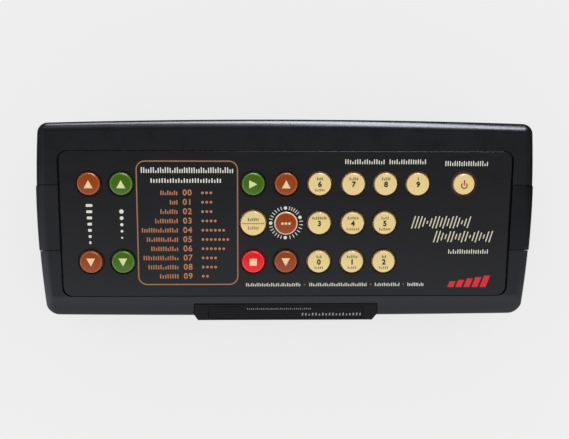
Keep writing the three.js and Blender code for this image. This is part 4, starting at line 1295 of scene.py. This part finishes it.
def digit_prints():
    """A figure in the middle of each number key, with a green row over it and a brown one under."""
    widths = {
        "6": (3.5, 5.5),
        "7": (5.3, 0),
        "8": (5.0, 0),
        "9": (0.9, 0),
        "3": (8.1, 0),
        "4": (6.4, 7.4),
        "5": (4.5, 6.6),
        "0": (3.2, 5.2),
        "1": (6.3, 5.2),
        "2": (2.6, 5.4),
    }
    for key, (upper, _) in widths.items():
        cap_print("figure", key, lettering(key, 4.1, 0, -0.1, 0.17), "black")
        cap_print("upper", key, strokes(upper, 1.6, 3.1), "green")
    for key, (_, lower) in widths.items():
        if lower:
            cap_print("lower", key, strokes(lower, 1.5, -3.2), "brown")


# Printing on the panel, placed on the face from its middle
TABLE_LEFT = -82.7
TABLE_RIGHT = -26.8
TABLE_MIDDLE = 0.6
TABLE_REACH = 35.2
TABLE_CORNER = 5.0
TABLE_LINE = 0.65
ROW_TOP = 17.9
ROW_PITCH = 5.27
NUMBER_X = -54.8
LEFT_ROWS_END = -59.9
FIRST_DOT_X = -46.4
DOT_PITCH = 2.3
LEFT_LENGTHS = (9.8, 4.7, 10.0, 13.0, 20.5, 17.8, 15.5, 19.9, 17.3, 11.0)
RIGHT_BEATS = (3, 3, 3, 4, 6, 7, 6, 4, 4, 2)
BOTTOM_LINE = -34.5


def face_print(name, objects, tone):
    """Lays prints on the face as one piece."""
    slot, material = INKS[tone]
    piece(put(joined(name, objects), FACE), name, material)


def beat_table():
    """A frame with the numbers 00 to 09, each with its beats drawn as strokes and as dots."""
    middle = (TABLE_LEFT + TABLE_RIGHT) / 2
    lines = []
    for line in (0, TABLE_LINE):
        size = (TABLE_RIGHT - TABLE_LEFT - 2 * line, 2 * (TABLE_REACH - line))
        lines.append(rounded(middle, TABLE_MIDDLE, *size, TABLE_CORNER - line))
    face_print("beat_table_frame", [ink(lines)], "dull copper")
    marks = []
    for row, (length, beats) in enumerate(zip(LEFT_LENGTHS, RIGHT_BEATS)):
        y = ROW_TOP - row * ROW_PITCH
        reach = (LEFT_ROWS_END - length, LEFT_ROWS_END)
        marks.append(lettering(f"{row:02d}", 4.6, NUMBER_X, y, 0.1, 1.16))
        marks.append(bars(*reach, y, 2.6, 1.3, 0.48, beat=3 + row % 3, wave=1.1 + 0.2 * row))
        dots = [circle(FIRST_DOT_X + DOT_PITCH * k, y, 0.75, 20) for k in range(beats)]
        marks.append(ink(dots))
    face_print("beat_table_print", marks, "copper")


def heading_prints():
    """White rows over the table, along the panel's top and bottom, and beside the keys."""
    rows = [
        bars(-80.2, -29.2, 30.5, 3.2, 1.3, 0.46, beat=5, wave=0.9),
        bars(-75.1, -35.8, 24.7, 2.5, 1.5, 0.45, beat=4, wave=1.3, low=0.6),
        bars(31.6, 54.0, 35.3, 2.7, 1.3, 0.42, beat=6, wave=0.8),
        bars(56.0, 76.8, 35.3, 2.7, 1.3, 0.42, beat=3, wave=1.9),
        bars(86.9, 111.2, 34.4, 2.8, 1.3, 0.4, beat=4, wave=0.7),
        bars(90.6, 113.7, -15.5, 2.5, 1.25, 0.42, beat=5, wave=1.5),
        bars(-22.8, 8.2, BOTTOM_LINE, 2.0, 1.0, 0.42, beat=7, wave=1.1),
        bars(12.8, 45.6, BOTTOM_LINE, 2.0, 1.0, 0.42, beat=6, wave=0.8),
        bars(49.8, 64.2, BOTTOM_LINE, 2.0, 1.0, 0.42, beat=5, wave=1.7),
        bars(68.3, 77.8, BOTTOM_LINE, 2.0, 1.0, 0.42, beat=4, wave=1.2),
    ]
    face_print("heading_print", rows, "white")


def level_prints():
    """Between the volume keys a wedge of bars, and between the bass keys a column of dots."""
    wedge = [rounded(VOLUME_X - 0.2, -10.2 + 3.5 * k, 1.1 + 0.42 * k, 1.5, 0.3, 3) for k in range(7)]
    dots = [circle(BASS_X - 0.3, -7.4 + 3.7 * k, 0.55 + 0.16 * k, 28) for k in range(5)]
    face_print("level_print", [ink(wedge + dots)], "white")


def dial_ring():
    """Four dots round the select key, with arcs of ticks between them."""
    radius = 8.4
    spots = [arc((0, 0), radius, turn, turn, 1)[0] for turn in (92, 22, 268, 181)]
    marks = [ink([circle(x, y, 0.95, 28) for x, y in spots])]
    slot, material = INKS["white"]
    sizes = {"radius": radius + 0.1, "width": 0.42, "length": 2.0, "bottom": -INK_SINK, "top": INK}
    for start, end, count in ((108, 166, 6), (40, 77, 5), (-74, 6, 7), (196, 252, 6)):
        span = {"start": start * DEGREES, "end": end * DEGREES}
        marks.append(ticks_recipe.run(solid("ticks"), material, count=count, **span, **sizes))
    ring = on_key(joined("dial_ring_print", marks), "select")
    piece(ring, "dial_ring_print", material)


def ring_round(key, gap, width, steps):
    """A thin printed ring, a gap out from a key's hole."""
    x, y, _ = KEYS[key]
    inner = cap_radius(key) + CAP_HOLE_GAP + gap
    return ink([circle(x, y, inner + width, steps), circle(x, y, inner, steps)])


def key_rings():
    """A ring round each key's hole: round the plain keys it is in a dark tone of the key's own,
    painted shade of the gap and the cap's side; the power key's is dark red.
    """
    face_print("power_ring_print", [ring_round("power", 0.1, 0.7, 72)], "wine")
    for colour in ("cream", "brown", "green", "red"):
        own = [key for key in KEYS if KEYS[key][2] == colour and key not in ("power", "select")]
        # These dark rings are painted shade round the holes.
        rings = [ring_round(key, 0.05, 0.6, 64) for key in own]
        face_print("shade_ring_print_" + colour, rings, "dark " + colour)


def select_collar():
    """A pale collar round the select key's edge."""
    inner = CAP_RADIUS - 0.1
    outer = CAP_RADIUS + 0.25
    bottom = 0.6
    top = 1.35
    lip = 0.15
    profile = [(inner, bottom), (outer, bottom), (outer, top - lip), (outer - lip, top)]
    profile += [(inner, top), (inner, bottom)]
    collar = on_key(smooth(turned("collar", profile, PALE_COLLAR, 72), 30), "select")
    piece(collar, "collar_select", PALE_COLLAR, "select")


def wave_prints():
    """Two leaning rows of sound-wave bars, ivory, to the right of the number keys."""
    upper = bars(*around(0, 33.0), 0, 7.2, 1.9, 0.34, beat=9, wave=0.62, low=0.2, seat=0)
    lower = bars(*around(0, 33.2), 0, 6.6, 1.9, 0.34, beat=8, wave=0.85, low=0.22, seat=0)
    lean = Matrix(((1, 0.28, 0, 0), (0, 1, 0, 0), (0, 0, 1, 0), (0, 0, 0, 1)))
    rows = [at(put(upper, lean), 86.3, 1.3), at(put(lower, lean), 98.9, -6.9)]
    face_print("wave_print", rows, "ivory")


def red_prints():
    """Leaning red bars in the lower right corner and red dots between the bottom rows."""
    low = -36.2
    first = 91.2
    pitch = 4.6
    width = 3.4
    lean = 0.35
    blocks = []
    for k in range(5):
        left = first + pitch * k
        right = left + width
        high = low + width + 0.82 * k
        shift = lean * (high - low)
        blocks.append([(left, low), (right, low), (right + shift, high), (left + shift, high)])
    dots = [circle(x, BOTTOM_LINE, 0.55, 16) for x in (10.4, 47.7, 66.2)]
    face_print("red_print", [ink(blocks)], "red")
    face_print("dot_print", [ink(dots)], "dull red")


# Display
def display():
    body = plate("bezel", [bezel_outline(0)], -BEZEL_THICKNESS, 0, PLATE_EDGE, 3)
    room = rounded(0, 0, WINDOW_WIDTH + 2 * FIT, WINDOW_HEIGHT + 2 * FIT, WINDOW_CORNER + FIT)
    pocket = extruded(room, -WINDOW_THICKNESS - FIT, OVERRUN)
    through = slab(*LED_ROOM, (-BEZEL_THICKNESS - OVERRUN, -FIT))
    bezel = evened(put(carve(body, [pocket, through]), DISPLAY), 40)
    piece(bezel, "bezel", BEZEL_BLACK, stands_for="display_bezel")
    window = [rounded(0, 0, WINDOW_WIDTH, WINDOW_HEIGHT, WINDOW_CORNER)]
    pane = evened(put(plate("window", window, -WINDOW_THICKNESS, 0, WINDOW_EDGE), DISPLAY), 50)
    piece(pane, "window", SMOKED, stands_for="display_window")


def segment(x, y, upright):
    """A light segment: a bar with pointed ends."""
    half = (SEGMENT_LENGTH - SEGMENT_GAP) / 2
    wide = SEGMENT_WIDTH / 2
    bar = [(-half, 0), (-half + wide, -wide), (half - wide, -wide), (half, 0)]
    bar += [(half - wide, wide), (-half + wide, wide)]
    if upright:
        bar = [(-py, px) for px, py in bar]
    return [(x + px, y + py) for px, py in bar]


def display_digits():
    """Eight unlit seven-segment figures and their points, on the digit module's face."""
    size = SEGMENT_LENGTH
    outlines = []
    for figure in range(FIGURES):
        middle = (figure - (FIGURES - 1) / 2) * LED_WIDTH / FIGURES
        outlines += [segment(middle, y, False) for y in (-size, 0, size)]
        for x in around(middle, size):
            outlines += [segment(x, y, True) for y in around(0, size)]
        outlines.append(circle(middle + size, -size, POINT_RADIUS, 16))
    front = -WINDOW_THICKNESS - 2 * FIT
    digits = plate("digits", outlines, front - INK_SINK, front + INK)
    piece(put(digits, DISPLAY), "digit_segments", SEGMENT)


def display_prints():
    """Small grey rows on the display's front, over the window."""
    rows = [
        bars(-22.3, 14.5, 3.8, 1.5, 1.1, 0.38, beat=5, wave=1.3),
        bars(8.8, 43.9, -2.0, 2.8, 2.0, 0.4, beat=4, wave=1.1, low=0.5),
    ]
    slot, material = INKS["grey"]
    piece(put(joined("display_print", rows), DISPLAY), "display_print", material)


# Speakers
def speaker_cone(name, side):
    """Turned from the dust cap over its dome, out along the cone and over the surround."""
    cap_edge = CONE_FRONT + CONE_DEPTH * (1 - DUST_CAP_RADIUS / CONE_RIM)
    profile = []
    for k in range(CROWN_STEPS + 1):
        share = k / CROWN_STEPS
        profile.append((DUST_CAP_RADIUS * share, cap_edge - DUST_CAP_RISE * (1 - share**2)))
    profile += [
        (CONE_RIM - CONE_ROLL, CONE_FRONT + CONE_DEPTH / CONE_RIM * CONE_ROLL),
        (CONE_RIM, CONE_FRONT),
        (CONE_RIM, CONE_FRONT + CONE_THICKNESS),
        (FORMER_RADIUS, CONE_FRONT + CONE_DEPTH),
        (FORMER_RADIUS, FORMER_END),
        (0, FORMER_END),
    ]
    cone = along_x(turned("cone", profile, CONE_PAPER, 96), side)
    node = "speaker_cone_" + name
    cone = smooth(put(cone, CASE), 40)
    piece(cone, "cone_paper_" + name, CONE_PAPER, "cone_" + name, node)


# Rear sockets
def jack(name, x):
    """A jack socket: its body on the board and a threaded, countersunk nose through the wall."""
    rear = rear_at(x) - WALL - 2 * FIT
    tip = rear_at(x) + JACK_NOSE_PROUD
    heights = around(JACK_AXIS, JACK_BODY_HEIGHT)
    body = block(around(x, JACK_BODY_WIDTH), (rear - JACK_BODY_DEPTH, rear), heights)
    carve(body, [to_rear(drum(JACK_RADIUS, tip - JACK_BORE_DEPTH, tip), x, JACK_AXIS)])
    outer = JACK_NOSE_RADIUS
    profile = [(JACK_RADIUS, rear + FIT / 3), (outer, rear + FIT / 3)]
    for k in range(int((tip - rear - JACK_PLAIN) / JACK_THREAD_PITCH)):
        start = rear + FIT + k * JACK_THREAD_PITCH
        profile.append((outer, start + 0.1 * JACK_THREAD_PITCH))
        profile.append((outer - JACK_THREAD_DEPTH, start + 0.55 * JACK_THREAD_PITCH))
    profile += [(outer, tip - JACK_CHAMFER_HEIGHT), (outer - JACK_CHAMFER, tip)]
    profile += [(JACK_RADIUS + JACK_SINK, tip), (JACK_RADIUS, tip - JACK_SINK), profile[0]]
    nose = to_rear(turned("nose", profile, SOCKET_BLACK, 48), x, JACK_AXIS)
    whole = smooth(put(joined("jack", [body, nose]), CASE), 40)
    piece(whole, name + "_socket", SOCKET_BLACK, stands_for=name + "_jack")
    outlines = [circle(0, 0, NUT_RADIUS, 6), circle(0, 0, outer + FIT)]
    front = rear_at(x) + FIT
    nut = to_rear(plate("nut", outlines, front, front + NUT_THICKNESS, NUT_EDGE), x, JACK_AXIS)
    ring = evened(put(nut, CASE), 40)
    piece(ring, name + "_ring_nut", NUT_CHROME, stands_for=name + "_nut")


def mains_inlet():
    """A two-pin inlet: a flange with round corners, a deep oval cavity and a pair of brass pins."""
    # Modelled flat, then stood up on the rear wall with its front face to the rear.
    seat = rear_at(INLET_X - INLET_FLANGE[0] / 2) + FIT
    upright = Matrix(((-1, 0, 0, INLET_X), (0, 0, 1, seat), (0, 1, 0, INLET_HEIGHT), (0, 0, 0, 1)))
    width, height, mouth = INLET_FLANGE
    outline = rounded(0, 0, width, height, INLET_CORNER)
    flange = plate("flange", [outline], 0, mouth, INLET_ROUND)
    carve(flange, [slab(*INLET_BODY[:2], (-INLET_BODY[2], mouth / 2))], "UNION")
    across, up, deep = INLET_CAVITY
    oval = rounded(0, 0, across, up, up / 2, 16)
    carve(flange, [extruded(oval, mouth - deep, mouth + OVERRUN)])
    inlet = eased(put(flange, CASE @ upright), INLET_EDGE, 50)
    piece(inlet, "inlet_body", SOCKET_BLACK, stands_for="mains_inlet")
    radius = INLET_PIN_RADIUS
    start = mouth - deep + MERGE
    shoulder = start + INLET_PIN_LENGTH - radius
    profile = [(0, start), (radius, start), (radius, shoulder)]
    profile += arc((0, shoulder), radius, 0, 90, 6)
    places = around(0, INLET_PIN_PITCH)
    pins = [at(turned("pin", profile, PIN_BRASS, 32), x, 0) for x in places]
    pair = smooth(put(joined("pins", pins), CASE @ upright), 40)
    piece(pair, "inlet_pins", PIN_BRASS)


# Feet and screws
def foot(name, x, y):
    """A turned rubber foot with a rounded edge and a shallow ring in its face."""
    top = FOOT_HEIGHT + FOOT_RECESS - FIT
    flat = FOOT_RADIUS - FOOT_CHAMFER
    ring = FOOT_RADIUS / 2
    profile = [(0, FOOT_RING), (ring - FOOT_RING_SLOPE, FOOT_RING), (ring, 0), (flat, 0)]
    profile += arc((flat, FOOT_CHAMFER), FOOT_CHAMFER, -90, 0, 6)[1:]
    profile += [(FOOT_RADIUS, top), (0, top)]
    pad = smooth(put(at(turned("foot", profile, FOOT_RUBBER, 56), x, y), CASE), 40)
    piece(pad, "pad_" + name, FOOT_RUBBER, stands_for="foot_" + name)


def screw(name, x, y):
    """A pan-head case screw with a cross recess, seen from below, and a threaded shank."""
    bottom = FOOT_HEIGHT + SCREW_RECESS
    top = bottom + SCREW_HEAD_HEIGHT
    edge = SCREW_HEAD_EDGE
    profile = [(0, bottom)]
    profile += arc((SCREW_HEAD_RADIUS - edge, bottom + edge), edge, -90, 0, 5)
    profile += [(SCREW_HEAD_RADIUS, top), (SCREW_RADIUS, top)]
    for k in range(int((SCREW_REACH - top - 2 * SCREW_PLAIN) / THREAD_PITCH)):
        rise = top + SCREW_PLAIN + k * THREAD_PITCH
        profile += [(SCREW_RADIUS - THREAD_DEPTH, rise), (SCREW_RADIUS, rise + THREAD_PITCH / 2)]
    profile += [(SCREW_TIP_RADIUS, SCREW_REACH), (0, SCREW_REACH)]
    slot = (bottom - OVERRUN, bottom + CROSS_DEPTH)
    arms = [slab(CROSS_LENGTH, CROSS_WIDTH, slot), slab(CROSS_WIDTH, CROSS_LENGTH, slot)]
    body = carve(turned("screw", profile, SCREW_STEEL, 40), arms)
    body = smooth(put(at(body, x, y), CASE), 40)
    piece(body, "screw_" + name, SCREW_STEEL, stands_for="case_screw_" + name)


# CAD nodes that stay as they are and only take a finish
def dress_inner_parts():
    finishes = {
        "key_board": BOARD_GREEN,
        "display_board": BOARD_GREEN,
        "main_board": BOARD_GREEN,
        "led_display": MODULE_BLACK,
        "ribbon_cable": RIBBON_GREY,
        "transformer_core": CORE_STEEL,
        "transformer_coil": COIL_TAPE,
        "speaker_frame_left": BASKET_STEEL,
        "speaker_frame_right": BASKET_STEEL,
        "speaker_magnet_left": MAGNET_DARK,
        "speaker_magnet_right": MAGNET_DARK,
    }
    for name, material in finishes.items():
        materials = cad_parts[name].data.materials
        materials.clear()
        materials.append(material)


# Stage
BLACK = (0.0, 0.0, 0.0, 1.0)
WHITE = (1.0, 1.0, 1.0, 1.0)
FLOOR_SIZE = 8000.0
FLOOR_DEPTH = 10.0
FLOOR_TONE = (0.14, 0.14, 0.14, 1.0)
FLOOR_GLOW = 0.735
SOFT_GLOW = 0.92
CARD_LEAN = 0.26
FRONT_GLOW = 0.86
LEFT_GLOW = 0.14
REAR_GLOW = 0.64
DARK_GLOW = 0.02
GLOSS_TINT = (0.96, 0.98, 1.1, 1.0)
WINDOW_COLOUR = (0.88, 0.9, 1.0, 1.0)
WINDOW_DEPTH = 457.0
DIM_GLOW = 12.5
BRIGHT_GLOW = 19.0
DIM_PANE = [(-265, 0), (-95, 80), (-95, 240), (-140, 235), (-230, 115)]
BRIGHT_PANE = [(-95, 85), (21, 60), (131, 110), (195, 220), (245, 330), (516, 800), (516, 1180)]
BRIGHT_PANE += [(200, 1150), (113, 850), (70, 500), (-95, 260)]
FLAG_DEPTH = REAR_REACH - SIDE_FILLET + case_shift
FLAG_REACH = 1000.0
FLAG_BOTTOM = 88.0
CAMERA_PLACE = (-18.68, -28.79, 593.92)
CAMERA_TURN = (3.1035, -1.882, -0.113)
CAMERA_LENS = 60.74


def glowing(tone, rough, glow_tone=WHITE, glow=0.0):
    """The sockets of a surface without gloss that may glow."""
    glows = {"Emission_Color": glow_tone, "Emission_Strength": glow}
    return {"Base_Color": tone, "Roughness": rough, "Specular_IOR_Level": 0.0, **glows}


@finish
def pale_floor(place):
    """The table that the object stands on: plain, pale, matt and evenly lit from behind."""
    return glowing(place.noise(300).shade(FLOOR_TONE, 1.0, 1.01), 0.9, WHITE, FLOOR_GLOW)


@finish
def window_light(place, glow):
    """The glow of a window, seen by gloss alone."""
    return glowing(BLACK, 0.5, place.noise(400).shade(WINDOW_COLOUR, 0.96, 1.0), glow)


@finish
def dark_cloth(place):
    return glowing(BLACK, 1.0)


def studio():
    """Soft, even light for all but gloss, which sees the dark with a card over the front edge, a
    faint light from the left and one behind."""
    world = bpy.data.worlds.new("studio")
    bpy.context.scene.world = world
    world.cycles.sampling_method = "NONE"
    world.use_nodes = True
    world.node_tree.nodes.clear()
    nodes = Nodes(world.node_tree)
    x, y, z = nodes.add("ShaderNodeTexCoord", output="Generated").split()
    fall = z.ranged(-0.9, 0.6, 0.12, 1.0)
    card = (y + z * CARD_LEAN).ranged(-0.235, -0.295) * x.ranged(-0.3, -0.9, 1.0, 2.0)
    left = x.ranged(-0.25, -0.6) * LEFT_GLOW
    behind = y.ranged(0.25, 0.6) * z.ranged(0.2, 0.5)
    seen = (card * FRONT_GLOW + left) * fall + behind * REAR_GLOW + DARK_GLOW
    glossy = nodes.add("ShaderNodeLightPath", output="Is Glossy Ray")
    strength = glossy * seen + (1 - glossy) * SOFT_GLOW
    light = nodes.add("ShaderNodeBackground", glossy.mix(WHITE, GLOSS_TINT), strength)
    nodes.add("ShaderNodeOutputWorld", light)


def seen_by_gloss(name, depth, outline, material):
    """A flat sheet across the stage that only gloss sees."""
    points = [(x * MM, depth * MM, z * MM) for x, z in outline]
    obj = solid(name, points, [tuple(range(len(points)))])
    obj.data.materials.append(material)
    obj.visible_camera = False
    obj.visible_diffuse = False
    obj.visible_transmission = False
    obj.visible_shadow = False


def stage():
    """A plain floor, two glowing panes behind the object, and a dark flag over its rear edge
    that keeps their glare off the sloped face."""
    for name, pane, glow in (("dim", DIM_PANE, DIM_GLOW), ("bright", BRIGHT_PANE, BRIGHT_GLOW)):
        seen_by_gloss(name + " pane", WINDOW_DEPTH, pane, window_light(name + " pane", glow))
    low = FLAG_BOTTOM
    high = 2 * FLAG_REACH
    sheet = [(-FLAG_REACH, low), (FLAG_REACH, low), (FLAG_REACH, high), (-FLAG_REACH, high)]
    seen_by_gloss("dark flag", FLAG_DEPTH, sheet, dark_cloth("dark flag"))
    floor = put(slab(FLOOR_SIZE, FLOOR_SIZE, (-FLOOR_DEPTH, 0)), Matrix.Scale(MM, 4))
    floor.name = "floor"
    floor.data.materials.append(pale_floor("pale floor"))
    floor.visible_glossy = False
    floor.visible_shadow = False


def camera():
    lens = bpy.data.cameras.new("camera")
    lens.sensor_width = 36.0
    lens.lens = CAMERA_LENS
    eye = linked("camera", lens)
    eye.location = [value * MM for value in CAMERA_PLACE]
    eye.rotation_euler = [value * DEGREES for value in CAMERA_TURN]
    bpy.context.scene.camera = eye
    bpy.context.scene.view_settings.view_transform = "Standard"


camera()
studio()
stage()
upper_shell()
lower_shell()
for end, side in (("left", -1), ("right", 1)):
    end_grille(end, side)
    speaker_cone(end, side)
control_panel()
keys()
arrow_prints()
program_print()
digit_prints()
beat_table()
heading_prints()
level_prints()
dial_ring()
key_rings()
select_collar()
wave_prints()
red_prints()
display()
display_digits()
display_prints()
for socket, place in JACK_XS.items():
    jack(socket, place)
mains_inlet()
for name, place in FEET.items():
    foot(name, *place)
for name, place in POSTS.items():
    screw(name, *place)
dress_inner_parts()
